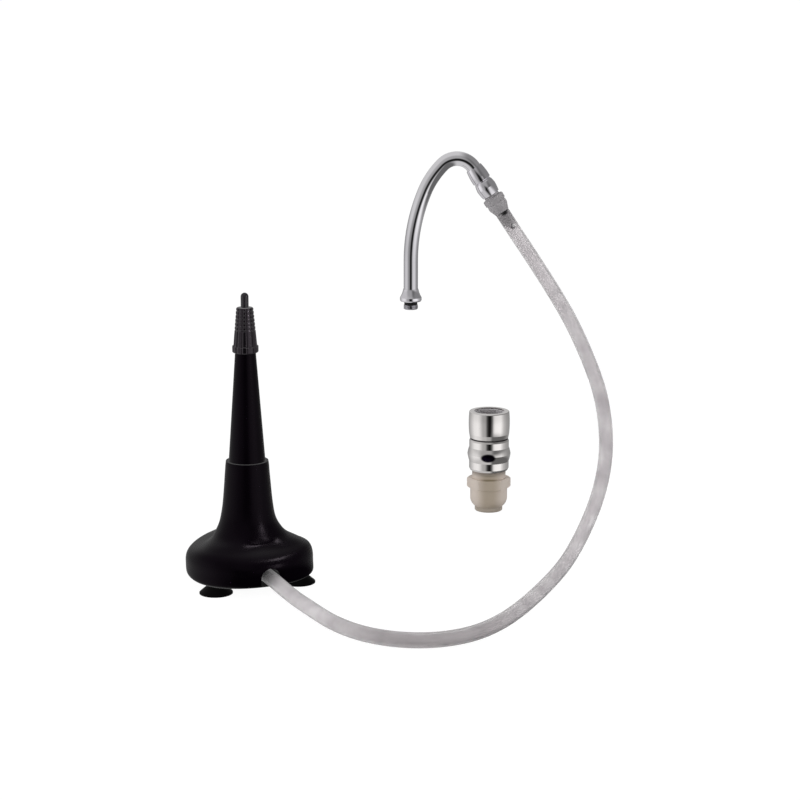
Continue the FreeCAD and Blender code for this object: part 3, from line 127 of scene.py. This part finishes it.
# Places of the painted light and shade
HOSE_EXIT = (0.0256, -0.0565, 0.0180)
HOSE_BEND = (0.19, -0.215, 0.0)
BARB_PAINTED_SHADE = (0.2636, 0.0895, 0.3712)
CRESCENT = (0.2733, 0.0885, 0.3562)
CRESCENT_PAINTED_GLINT = (0.2741, 0.0885, 0.3572)
LEG_FOOT = (0.1673, 0.095, 0.27)
SLEEVE_PAINTED_REFLECTION = (0.2569, 0.2570, 0.0665)
SLEEVE_GAP = (*LOOSE_PLACE.xy, 0.0856)
PLUG_MIDDLE = (*LOOSE_PLACE.xy, 0.02)
PLUG_TOP = (*LOOSE_PLACE.xy, 0.0486)
PLUG_HIGH_STEP_SHADE = (*LOOSE_PLACE.xy, 0.0443)
PLUG_LOW_STEP_SHADE = (*LOOSE_PLACE.xy, 0.0396)

# Painted light and shade: place, reach along X, Y and Z, start and end of the fade in reaches,
# colour, amount

# Hose, all painted light and shade: its front bend, its way out, the barb with a dark spot, and
# the crescent with its bright core
HOSE_SHADES = (
    # Painted shade on the low front bend, darker where the hose lies on the floor
    (HOSE_BEND, (1.0, 0.6, 1.0), 0.05, 0.17, (0.48, 0.45, 0.455), 0.45),
    # Painted shadow where the hose comes out of the recess in the stand
    (HOSE_EXIT, EVEN, 0.003, 0.024, (0.055, 0.052, 0.055), 1.0),
    # Painted shade over the barb in the hose's upper end, and a darker painted spot in its middle
    (BARB_PAINTED_SHADE, EVEN, 0.010, 0.024, (0.36, 0.345, 0.355), 0.72),
    (BARB_PAINTED_SHADE, EVEN, 0.0025, 0.0055, (0.02, 0.02, 0.02), 1.0),
    # A ring of painted shade round a painted highlight, beside the barb
    (CRESCENT, EVEN, 0.0020, 0.0036, (0.22, 0.21, 0.22), 1.0),
    (CRESCENT_PAINTED_GLINT, EVEN, 0.0012, 0.0024, (1.0, 1.0, 1.0), 1.0),
)

# Gooseneck: painted darker reflection on its leg, from the foot up
LEG_SHADES = ((LEG_FOOT, (1.0, 1.0, 0.12), 0.5, 1.0, (0.66, 0.65, 0.68), 1.0),)

# Loose coupler: painted shade in the gap between its head and its sleeve, and a dark oval of
# painted reflection on the sleeve's bulge
GAP_SHADES = ((SLEEVE_GAP, (1.0, 1.0, 0.0012), 0.55, 1.1, (0.05, 0.04, 0.05), 0.85),)
# A dark oval of painted reflection on the sleeve's bulge
PAINTED_REFLECTION_SHADES = ((SLEEVE_PAINTED_REFLECTION, (0.0090, 0.0300, 0.0052), 0.75, 1.1, (0.006, 0.004, 0.012), 1.0),)

# Loose plug, all painted shade: yellower and darker along its middle where the bore shows through,
# a painted shadow under the sleeve, and two dark lines at the steps on its front
LOOSE_PLUG_SHADES = (
    # Painted shade along its middle, where the bore shows through the plastic
    (PLUG_MIDDLE, (0.017, 1.0, 1.0), 0.2, 1.0, (0.60, 0.51, 0.405), 1.0),
    # Painted shadow under the sleeve
    (PLUG_TOP, (1.0, 1.0, 0.0075), 0.2, 1.0, (0.34, 0.29, 0.25), 0.8),
    # Two dark lines of painted shade at the steps from neck to hex
    (PLUG_HIGH_STEP_SHADE, (0.010, 1.0, 0.0011), 0.4, 1.1, (0.34, 0.29, 0.21), 0.6),
    (PLUG_LOW_STEP_SHADE, (0.010, 1.0, 0.0011), 0.4, 1.1, (0.34, 0.28, 0.18), 0.8),
)

# Low part of the stand's foot around the hose, with less shine: painted shade in the recess
LOW_SHADE = (0.040, -0.050, 0.012)
LOW_SHADE_REACH = (0.065, 0.065, 0.022)
LOW_SHADE_FADE = (0.6, 1.1)
LOW_SHINE = 0.004

# Floor: white where the camera sees it, and matte to light
FLOOR_REACH = 40.0
FLOOR_DROP = 0.0002
FLOOR_GREY = 0.8
FLOOR_GLOW = 1.12
FLOOR_GLOW_SHARE = 0.86

# Brightness of the reflected walls by share of a turn: far side, left, camera's side at 0.5, right
WALLS = (
    (0.0, 0.35), (0.083, 0.38), (0.156, 0.57), (0.236, 0.88), (0.306, 0.93),
    (0.333, 0.84), (0.361, 0.66), (0.381, 0.51), (0.397, 0.44), (0.433, 0.40),
    (0.450, 0.22), (0.466, 0.065), (0.482, 0.022), (0.498, 0.008), (0.514, 0.010),
    (0.530, 0.08), (0.547, 0.24), (0.562, 0.62), (0.577, 0.84), (0.594, 0.94),
    (0.639, 1.00), (0.689, 1.00), (0.706, 0.84), (0.750, 0.54), (0.811, 0.38),
    (0.875, 0.32), (1.0, 0.35),
)

# The rest of that room: spans of a direction's X, Y or Z, and the values at their two ends
CEILING_RISE = (0.0, 0.30)
CEILING_ALONG_Y = ((-0.80, -0.30), (0.44, 0.70))
CEILING_ALONG_X = ((0.05, 0.50), (1.0, 0.40))
TABLE_RISE = (-0.66, -0.38)
TABLE_GREY = 0.58
NEAR_RIGHT_RISE = (-0.46, -0.30)
NEAR_RIGHT_SIDE = (0.0, 0.30)
NEAR_RIGHT_GREY = 0.13
ROOM_STRENGTH = ((-0.24, -0.08), (1.0, 0.84))

# Lamps: place, aim, size, power in watts, whether reflections show it, and what alone it lights
MIDDLE = (0.15, 0.0, 0.2)
FOOT = (0, 0, 0.04)
FOOT_MIDDLE = (0, 0, 0.06)
DARK_PIECES = ("base_shell", "base_cover", "upper_cone", "nozzle_cap", "jet_tip")
LAMPS = {
    "key": ((-1.7, -1.0, 0.75), MIDDLE, (0.6, 0.6), 14, False, ()),
    "fill": ((1.75, -0.45, 0.95), MIDDLE, (0.9, 0.5), 9, False, ()),
    "sheen": ((1.50, -0.98, 0.72), FOOT_MIDDLE, (0.22, 0.70), 6, True, DARK_PIECES),
    "rim": ((0.88, 0.16, 1.72), FOOT, (0.42, 0.34), 7, True, ("base_shell",)),
    "top": ((0.2, 0.3, 1.8), MIDDLE, (1.2, 0.8), 1.5, False, ()),
}

# Bodies that mirror reflections don't show
UNMIRRORED_BODIES = ("stand", "cap", "tip")

# Sockets of a mix of colours
MIX_SHARE = 0
MIX_ONE = 6
MIX_TWO = 7
MIX_RESULT = 2


# Steps that the materials and the world are made of

def feed(links, source, socket):
    """Gives a socket its value: that of another socket, or a plain one."""
    if isinstance(source, bpy.types.NodeSocket):
        links.new(source, socket)
    else:
        socket.default_value = source


def mapped(nodes, links, source, span, result, smooth=False):
    """A value taken from one range to another, and held at both ends."""
    spread = nodes.new("ShaderNodeMapRange")
    if smooth:
        spread.interpolation_type = "SMOOTHSTEP"
    ends = ("From Min", "From Max", "To Min", "To Max")
    for end, value in zip(ends, (*span, *result)):
        spread.inputs[end].default_value = value
    links.new(source, spread.inputs["Value"])
    return spread.outputs["Result"]


def product(nodes, links, one, two):
    """One value times another."""
    times = nodes.new("ShaderNodeMath")
    times.operation = "MULTIPLY"
    feed(links, one, times.inputs[0])
    feed(links, two, times.inputs[1])
    return times.outputs["Value"]


def mixed(nodes, links, share, one, two):
    """A colour between two others."""
    mix = nodes.new("ShaderNodeMix")
    mix.data_type = "RGBA"
    feed(links, share, mix.inputs[MIX_SHARE])
    feed(links, one, mix.inputs[MIX_ONE])
    feed(links, two, mix.inputs[MIX_TWO])
    return mix.outputs[MIX_RESULT]


def grey(value):
    """A colour with nothing but brightness."""
    return (value, value, value, 1)


# Materials

def new_material(name):
    made = bpy.data.materials.new(name)
    made.use_nodes = True
    return made, made.node_tree.nodes, made.node_tree.links


def noise_of(nodes, links, scale, detail):
    """Noise in the object's own coordinates, in metres."""
    where = nodes.new("ShaderNodeTexCoord")
    noise = nodes.new("ShaderNodeTexNoise")
    noise.inputs["Scale"].default_value = scale
    noise.inputs["Detail"].default_value = detail
    links.new(where.outputs["Object"], noise.inputs["Vector"])
    return noise.outputs["Fac"]


def finished(name, one, two, rough, patch, grain, depth, metallic=0.0, **sockets):
    """Two near colours in soft patches, a roughness that drifts, and a fine grain as bump."""
    made, nodes, links = new_material(name)
    shader = nodes["Principled BSDF"]
    patches = noise_of(nodes, links, patch, PATCH_DETAIL)
    fine = noise_of(nodes, links, grain, GRAIN_DETAIL)
    share = mapped(nodes, links, patches, NOISE_SPAN, (0.0, 1.0))
    links.new(mixed(nodes, links, share, (*one, 1), (*two, 1)), shader.inputs["Base Color"])
    links.new(mapped(nodes, links, fine, NOISE_SPAN, rough), shader.inputs["Roughness"])
    bump = nodes.new("ShaderNodeBump")
    bump.inputs["Strength"].default_value = GRAIN_STRENGTH
    bump.inputs["Distance"].default_value = depth
    links.new(fine, bump.inputs["Height"])
    links.new(bump.outputs["Normal"], shader.inputs["Normal"])
    shader.inputs["Metallic"].default_value = metallic
    for socket, value in sockets.items():
        shader.inputs[socket.replace("_", " ")].default_value = value
    return made


# Each look: two colours, range of roughness, scales of the patches and the grain, and its depth
LOOKS = {
    "stand_black": finished(
        "stand_black", (0.0010, 0.0003, 0.0013), (0.0017, 0.0007, 0.0021), (0.22, 0.32),
        30, 900, 0.00003, Specular_IOR_Level=0.076, Specular_Tint=(1.0, 0.82, 1.0, 1.0)),
    "cap_grey": finished(
        "cap_grey", (0.0020, 0.0014, 0.0022), (0.0045, 0.0036, 0.0048), (0.16, 0.24),
        80, 1500, 0.000018, Specular_IOR_Level=0.52, Specular_Tint=(1.0, 0.86, 1.0, 1.0),
        Sheen_Weight=0.07, Sheen_Roughness=0.30),
    "tip_grey": finished(
        "tip_grey", (0.010, 0.008, 0.011), (0.016, 0.013, 0.017), (0.20, 0.28),
        100, 1500, 0.00002, Specular_IOR_Level=0.55, Sheen_Weight=0.04, Sheen_Roughness=0.30),
    "cup_rubber": finished(
        "cup_rubber", (0.0012, 0.0010, 0.0012), (0.0020, 0.0017, 0.0020), (0.40, 0.52),
        60, 1200, 0.00003, Specular_IOR_Level=0.05),
    "seal_rubber": finished(
        "seal_rubber", (0.008, 0.008, 0.008), (0.012, 0.012, 0.012), (0.50, 0.60),
        60, 1500, 0.00003, Specular_IOR_Level=0.25),
    "inner_plastic": finished(
        "inner_plastic", (0.18, 0.18, 0.18), (0.22, 0.22, 0.22), (0.40, 0.50),
        60, 1200, 0.00003),
    "screw_steel": finished(
        "screw_steel", (0.50, 0.50, 0.52), (0.60, 0.60, 0.60), (0.25, 0.38),
        60, 900, 0.00002, 1.0),
    "ball_steel": finished(
        "ball_steel", (0.66, 0.66, 0.68), (0.70, 0.70, 0.71), (0.10, 0.16),
        60, 900, 0.00001, 1.0),
    "spring_steel": finished(
        "spring_steel", (0.50, 0.50, 0.50), (0.58, 0.58, 0.58), (0.25, 0.35),
        60, 900, 0.00002, 1.0),
    "thread_steel": finished(
        "thread_steel", (0.82, 0.80, 0.82), (0.88, 0.86, 0.88), (0.34, 0.46),
        60, 900, 0.00002, 0.6),
    "chrome": finished(
        "chrome", (0.84, 0.82, 0.86), (0.87, 0.85, 0.89), (0.03, 0.06),
        25, 700, 0.000004, 1.0),
    "chrome_bright": finished(
        "chrome_bright", (0.93, 0.915, 0.945), (0.96, 0.945, 0.975), (0.03, 0.06),
        25, 700, 0.000004, 1.0),
    "chrome_warm": finished(
        "chrome_warm", (0.87, 0.84, 0.83), (0.90, 0.87, 0.85), (0.03, 0.06),
        25, 700, 0.000004, 1.0),
    "chrome_dull": finished(
        "chrome_dull", (0.43, 0.42, 0.45), (0.49, 0.48, 0.51), (0.10, 0.18),
        60, 900, 0.00001, 1.0),
    "plug_plastic": finished(
        "plug_plastic", (0.45, 0.43, 0.445), (0.53, 0.51, 0.525), (0.32, 0.42),
        60, 400, 0.00001, Transmission_Weight=0.30, IOR=1.46),
    "loose_plug_plastic": finished(
        "loose_plug_plastic", (0.82, 0.72, 0.64), (0.88, 0.775, 0.69), (0.28, 0.32),
        50, 200, 0.000002, Transmission_Weight=0.16, IOR=1.38),
    "collet_plastic": finished(
        "collet_plastic", (0.50, 0.435, 0.365), (0.56, 0.49, 0.415), (0.28, 0.36),
        50, 200, 0.000002, Transmission_Weight=0.12, IOR=1.38),
    "hose_vinyl": finished(
        "hose_vinyl", (0.75, 0.720, 0.735), (0.98, 0.955, 0.965), (0.14, 0.26),
        45, 260, 0.00010, Transmission_Weight=0.60, IOR=1.30),
}


def nearness(nodes, links, spot, reach, inner, outer):
    """1 near a spot, fading to 0; the distance is in shares of the reach along X, Y and Z."""
    where = nodes.new("ShaderNodeTexCoord")
    apart = nodes.new("ShaderNodeVectorMath")
    apart.operation = "SUBTRACT"
    apart.inputs[1].default_value = spot
    links.new(where.outputs["Object"], apart.inputs[0])
    share = nodes.new("ShaderNodeVectorMath")
    share.operation = "DIVIDE"
    share.inputs[1].default_value = reach
    links.new(apart.outputs["Vector"], share.inputs[0])
    length = nodes.new("ShaderNodeVectorMath")
    length.operation = "LENGTH"
    links.new(share.outputs["Vector"], length.inputs[0])
    return mapped(nodes, links, length.outputs["Value"], (inner, outer), (1.0, 0.0), True)


def shade(made, shades):
    """Mixes painted light and shade over a material's own colour, one shade after the other."""
    nodes, links = made.node_tree.nodes, made.node_tree.links
    base = nodes["Principled BSDF"].inputs["Base Color"]
    for spot, reach, inner, outer, colour, strength in shades:
        own = base.links[0].from_socket
        near = nearness(nodes, links, spot, reach, inner, outer)
        share = product(nodes, links, near, strength)
        links.new(mixed(nodes, links, share, own, (*colour, 1)), base)


def shaded(look, name, shades):
    """A copy of a look, with painted light and shade."""
    made = LOOKS[look].copy()
    made.name = name
    shade(made, shades)
    return made


def shaded_black():
    """The foot's black, with less shine low down around the hose: painted shade in the recess."""
    made = LOOKS["stand_black"].copy()
    made.name = "stand_black_shaded"
    nodes, links = made.node_tree.nodes, made.node_tree.links
    shine = nodes["Principled BSDF"].inputs["Specular IOR Level"]
    near = nearness(nodes, links, LOW_SHADE, LOW_SHADE_REACH, *LOW_SHADE_FADE)
    full = shine.default_value
    links.new(mapped(nodes, links, near, (0.0, 1.0), (full, LOW_SHINE)), shine)
    return made


# Looks with painted light and shade that differ from place to place
shade(LOOKS["hose_vinyl"], HOSE_SHADES)
LOOKS["chrome_gooseneck"] = shaded("chrome_bright", "chrome_gooseneck", LEG_SHADES)
LOOKS["chrome_gapped"] = shaded("chrome_warm", "chrome_gapped", GAP_SHADES)
LOOKS["chrome_marked"] = shaded("chrome_warm", "chrome_marked", GAP_SHADES + PAINTED_REFLECTION_SHADES)
LOOKS["loose_plug_shaded"] = shaded("loose_plug_plastic", "loose_plug_shaded", LOOSE_PLUG_SHADES)
LOOKS["stand_black_shaded"] = shaded_black()

# Pieces whose look isn't that of their slot
OWN_LOOKS = {
    "base_shell": "stand_black_shaded",
    "base_cover": "stand_black_shaded",
    "spout_tube": "chrome_gooseneck",
    "inlet_nipple": "chrome_dull",
    "loose_socket": "chrome_gapped",
    "loose_sleeve": "chrome_marked",
    "loose_plug": "loose_plug_shaded",
    "collet_ring": "collet_plastic",
}

for entry in frame["record"]["subparts"]:
    look = OWN_LOOKS.get(entry["node"], entry["material_slot"])
    node = bpy.data.objects[entry["node"]]
    node.data.materials.clear()
    node.data.materials.append(LOOKS[look])


def piece_from(made, name):
    """An object of the scene from a bmesh, with its faces turned outwards."""
    bmesh.ops.recalc_face_normals(made, faces=made.faces)
    mesh = bpy.data.meshes.new(name)
    made.to_mesh(mesh)
    made.free()
    piece = bpy.data.objects.new(name, mesh)
    bpy.context.scene.collection.objects.link(piece)
    return piece


# Hose

def hose_corners():
    way_out = Vector((math.cos(HOSE_ANGLE), math.sin(HOSE_ANGLE), 0))
    start = way_out * HOSE_START + Vector((0, 0, INLET_HEIGHT))
    end = COUPLER_PLACE + COUPLER_WAY * PLUG_END
    return ([start, start + way_out * HOSE_STRAIGHT_IN] + [Vector(p) for p in HOSE_ROUTE]
            + [end + COUPLER_WAY * HOSE_STRAIGHT_OUT, end])


def smooth_line(corners):
    """Points along the NURBS spline whose control points are the route's corners."""
    curve = bpy.data.curves.new("hose_line", "CURVE")
    curve.dimensions = "3D"
    curve.resolution_u = HOSE_STEPS
    spline = curve.splines.new("NURBS")
    spline.points.add(len(corners) - 1)
    for point, corner in zip(spline.points, corners):
        point.co = (*corner, 1)
    spline.order_u = 3
    spline.use_endpoint_u = True
    line = bpy.data.objects.new("hose_line", curve)
    bpy.context.scene.collection.objects.link(line)
    bpy.context.view_layer.update()
    mesh = bpy.data.meshes.new_from_object(line)
    points = [vertex.co.copy() for vertex in mesh.vertices]
    bpy.data.objects.remove(line)
    bpy.data.meshes.remove(mesh)
    kept = [points[0]]
    for point in points[1:]:
        if (point - kept[-1]).length > HOSE_POINT_GAP:
            kept.append(point)
    return kept


def tube_along(name, line, radius, bore, sides):
    """A hollow tube, closed at its ends by flat rings."""
    made = bmesh.new()
    way = (line[1] - line[0]).normalized()
    across = way.cross(Vector((0, 0, 1))).normalized()
    rings = []
    for k, point in enumerate(line):
        ahead = line[min(k + 1, len(line) - 1)]
        behind = line[max(k - 1, 0)]
        new_way = (ahead - behind).normalized()
        across = (across - new_way * across.dot(new_way)).normalized()
        up = new_way.cross(across)
        pair = []
        for reach in (radius, bore):
            ring = []
            for j in range(sides):
                angle = 2 * math.pi * j / sides
                spot = point + (across * math.cos(angle) + up * math.sin(angle)) * reach
                ring.append(made.verts.new(spot))
            pair.append(ring)
        rings.append(pair)
    for (outer, inner), (next_outer, next_inner) in zip(rings, rings[1:]):
        for j in range(sides):
            i = (j + 1) % sides
            made.faces.new((outer[j], outer[i], next_outer[i], next_outer[j]))
            made.faces.new((inner[i], inner[j], next_inner[j], next_inner[i]))
    for (outer, inner), flip in ((rings[0], True), (rings[-1], False)):
        for j in range(sides):
            i = (j + 1) % sides
            quad = (outer[j], outer[i], inner[i], inner[j])
            made.faces.new(quad[::-1] if flip else quad)
    for face in made.faces:
        face.smooth = True
    return piece_from(made, name)


hose_line = smooth_line(hose_corners())
clear_hose = tube_along("clear_hose", hose_line, HOSE_RADIUS, HOSE_BORE, HOSE_SIDES)
clear_hose.data.materials.append(LOOKS["hose_vinyl"])
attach(clear_hose, "stand")
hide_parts("hose")


# Threads

def thread_ridge(name, centre, radius, ridge, span, pitch):
    """A helical ridge on a cylinder, from its root to its crest; it runs out at each end."""
    made = bmesh.new()
    low, high = span
    root, crest = radius + ridge[0], radius + ridge[1]
    runout = THREAD_RUNOUT * THREAD_SIDES
    corners = len(THREAD_SECTION)
    count = int((high - low) / pitch * THREAD_SIDES)
    rows = []
    for k in range(count + 1):
        angle = 2 * math.pi * k / THREAD_SIDES
        height = low + (high - low) * k / count
        ease = min(1.0, k / runout, (count - k) / runout)
        row = []
        for up, out in THREAD_SECTION:
            reach = root + (crest - root) * out * ease
            row.append(made.verts.new((centre.x + reach * math.cos(angle),
                                       centre.y + reach * math.sin(angle),
                                       height + up * pitch)))
        rows.append(row)
    for row, after in zip(rows, rows[1:]):
        for j in range(corners):
            i = (j + 1) % corners
            made.faces.new((row[j], row[i], after[i], after[j]))
    made.faces.new(rows[0][::-1])
    made.faces.new(rows[-1])
    return piece_from(made, name)


nipple_thread = thread_ridge("nipple_thread", NIPPLE_PLACE, NIPPLE_RADIUS, NIPPLE_RIDGE,
                             NIPPLE_THREAD, NIPPLE_PITCH)
nipple_thread.data.materials.append(LOOKS["chrome_dull"])
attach(nipple_thread, "spout")
mouth_thread = thread_ridge("mouth_thread", LOOSE_PLACE, MOUTH_RADIUS, MOUTH_RIDGE,
                            MOUTH_THREAD, MOUTH_PITCH)
mouth_thread.data.materials.append(LOOKS["thread_steel"])
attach(mouth_thread, "loose_socket")


# Springs

def working_spring(node, body):
    """A coupler's spring as a copy with a mesh of its own, on the body of its fixed end, in place
    of the hidden node.
    """
    coil = bpy.data.objects.new(node + "_coil", bpy.data.objects[node].data.copy())
    bpy.context.scene.collection.objects.link(coil)
    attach(coil, body)
    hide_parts(node)
    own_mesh(coil)


working_spring("fitted_spring", "spout")
working_spring("loose_spring", "loose_socket")


# Floor, world, lamps and camera

def seen_by(nodes, links, *rays):
    """1 where one of these kinds of ray looks, and 0 elsewhere."""
    path = nodes.new("ShaderNodeLightPath")
    total = path.outputs[rays[0]]
    for ray in rays[1:]:
        add = nodes.new("ShaderNodeMath")
        add.operation = "ADD"
        add.use_clamp = True
        links.new(total, add.inputs[0])
        links.new(path.outputs[ray], add.inputs[1])
        total = add.outputs["Value"]
    return total


def floor_white():
    """White to the camera, also through the hose, matte to light, and clear to reflections."""
    made, nodes, links = new_material("floor_white")
    nodes.remove(nodes["Principled BSDF"])
    matte = nodes.new("ShaderNodeBsdfDiffuse")
    matte.inputs["Color"].default_value = grey(FLOOR_GREY)
    glow = nodes.new("ShaderNodeEmission")
    glow.inputs["Color"].default_value = grey(1)
    glow.inputs["Strength"].default_value = FLOOR_GLOW
    seen = seen_by(nodes, links, "Is Camera Ray", "Is Transmission Ray")
    white = nodes.new("ShaderNodeMixShader")
    links.new(product(nodes, links, seen, FLOOR_GLOW_SHARE), white.inputs["Fac"])
    links.new(matte.outputs["BSDF"], white.inputs[1])
    links.new(glow.outputs["Emission"], white.inputs[2])
    clear = nodes.new("ShaderNodeBsdfTransparent")
    through = nodes.new("ShaderNodeMixShader")
    links.new(seen_by(nodes, links, "Is Glossy Ray"), through.inputs["Fac"])
    links.new(white.outputs["Shader"], through.inputs[1])
    links.new(clear.outputs["BSDF"], through.inputs[2])
    links.new(through.outputs["Shader"], nodes["Material Output"].inputs["Surface"])
    return made


def floor():
    mesh = bpy.data.meshes.new("floor")
    signs = ((-1, -1), (1, -1), (1, 1), (-1, 1))
    corners = [(x * FLOOR_REACH, y * FLOOR_REACH, 0) for x, y in signs]
    mesh.from_pydata(corners, [], [(0, 1, 2, 3)])
    mesh.materials.append(floor_white())
    ground = bpy.data.objects.new("floor", mesh)
    ground.location.z = -FLOOR_DROP
    bpy.context.scene.collection.objects.link(ground)


def walls(nodes, links, way):
    """Brightness of the walls by the turn around the object."""
    turn = nodes.new("ShaderNodeMath")
    turn.operation = "ARCTAN2"
    links.new(way.outputs["X"], turn.inputs[0])
    links.new(product(nodes, links, way.outputs["Y"], -1.0), turn.inputs[1])
    share = mapped(nodes, links, turn.outputs["Value"], (-math.pi, math.pi), (0.0, 1.0))
    ramp = nodes.new("ShaderNodeValToRGB")
    links.new(share, ramp.inputs["Fac"])
    elements = ramp.color_ramp.elements
    elements[0].color = grey(WALLS[0][1])
    elements[-1].color = grey(WALLS[-1][1])
    for position, value in WALLS[1:-1]:
        elements.new(position).color = grey(value)
    return ramp.outputs["Color"]


def world():
    """White to the camera. Reflections show pale walls with a dark gap behind the camera, a
    ceiling, a table below, and a dark part of it near the camera at the right."""
    made = bpy.data.worlds.new("studio")
    made.use_nodes = True
    nodes, links = made.node_tree.nodes, made.node_tree.links
    where = nodes.new("ShaderNodeTexCoord")
    way = nodes.new("ShaderNodeSeparateXYZ")
    links.new(where.outputs["Generated"], way.inputs["Vector"])

    def along(axis, span, result):
        return mapped(nodes, links, way.outputs[axis], span, result, True)

    overhead = product(nodes, links, along("Y", *CEILING_ALONG_Y), along("X", *CEILING_ALONG_X))
    room = mixed(nodes, links, along("Z", CEILING_RISE, (0.0, 1.0)),
                 walls(nodes, links, way), overhead)
    room = mixed(nodes, links, along("Z", TABLE_RISE, (1.0, 0.0)), room, grey(TABLE_GREY))
    near_right = product(nodes, links, along("Z", NEAR_RIGHT_RISE, (1.0, 0.0)),
                         along("X", NEAR_RIGHT_SIDE, (0.0, 1.0)))
    room = mixed(nodes, links, near_right, room, grey(NEAR_RIGHT_GREY))
    studio = nodes.new("ShaderNodeBackground")
    links.new(room, studio.inputs["Color"])
    links.new(along("Z", *ROOM_STRENGTH), studio.inputs["Strength"])
    white = nodes["Background"]
    white.inputs["Color"].default_value = grey(1)
    mix = nodes.new("ShaderNodeMixShader")
    links.new(seen_by(nodes, links, "Is Camera Ray", "Is Transmission Ray"), mix.inputs["Fac"])
    links.new(studio.outputs["Background"], mix.inputs[1])
    links.new(white.outputs["Background"], mix.inputs[2])
    links.new(mix.outputs["Shader"], nodes["World Output"].inputs["Surface"])
    bpy.context.scene.world = made


def lamp(name, place, aim, size, power, in_reflections, only):
    """An area light. Where pieces are named, it lights only those."""
    light = bpy.data.lights.new(name, "AREA")
    light.shape = "RECTANGLE"
    light.size, light.size_y = size
    light.energy = power
    made = bpy.data.objects.new(name, light)
    made.location = place
    facing = Vector(aim) - Vector(place)
    made.rotation_euler = facing.to_track_quat("-Z", "Y").to_euler()
    made.visible_glossy = in_reflections
    bpy.context.scene.collection.objects.link(made)
    if only:
        lit = bpy.data.collections.new(name + "_lit")
        for piece in only:
            lit.objects.link(bpy.data.objects[piece])
        made.light_linking.receiver_collection = lit


def keep_from_mirrors():
    """Keeps the whole stand and the hose out of mirror reflections."""
    for body in UNMIRRORED_BODIES:
        for name in frame["record"]["behaviour"]["bodies"][body]:
            bpy.data.objects[name].visible_glossy = False
    clear_hose.visible_glossy = False


def camera():
    made = bpy.data.cameras.new("camera")
    made.lens = CAMERA_LENS
    made.sensor_width = CAMERA_SENSOR
    made.clip_end = CAMERA_REACH
    eye = bpy.data.objects.new("camera", made)
    eye.location = CAMERA_PLACE
    eye.rotation_euler = (math.radians(90 - CAMERA_DOWN), 0, 0)
    bpy.context.scene.collection.objects.link(eye)
    bpy.context.scene.camera = eye


floor()
world()
for name, facts in LAMPS.items():
    lamp(name, *facts)
keep_from_mirrors()
camera()
bpy.context.scene.view_settings.view_transform = "Standard"
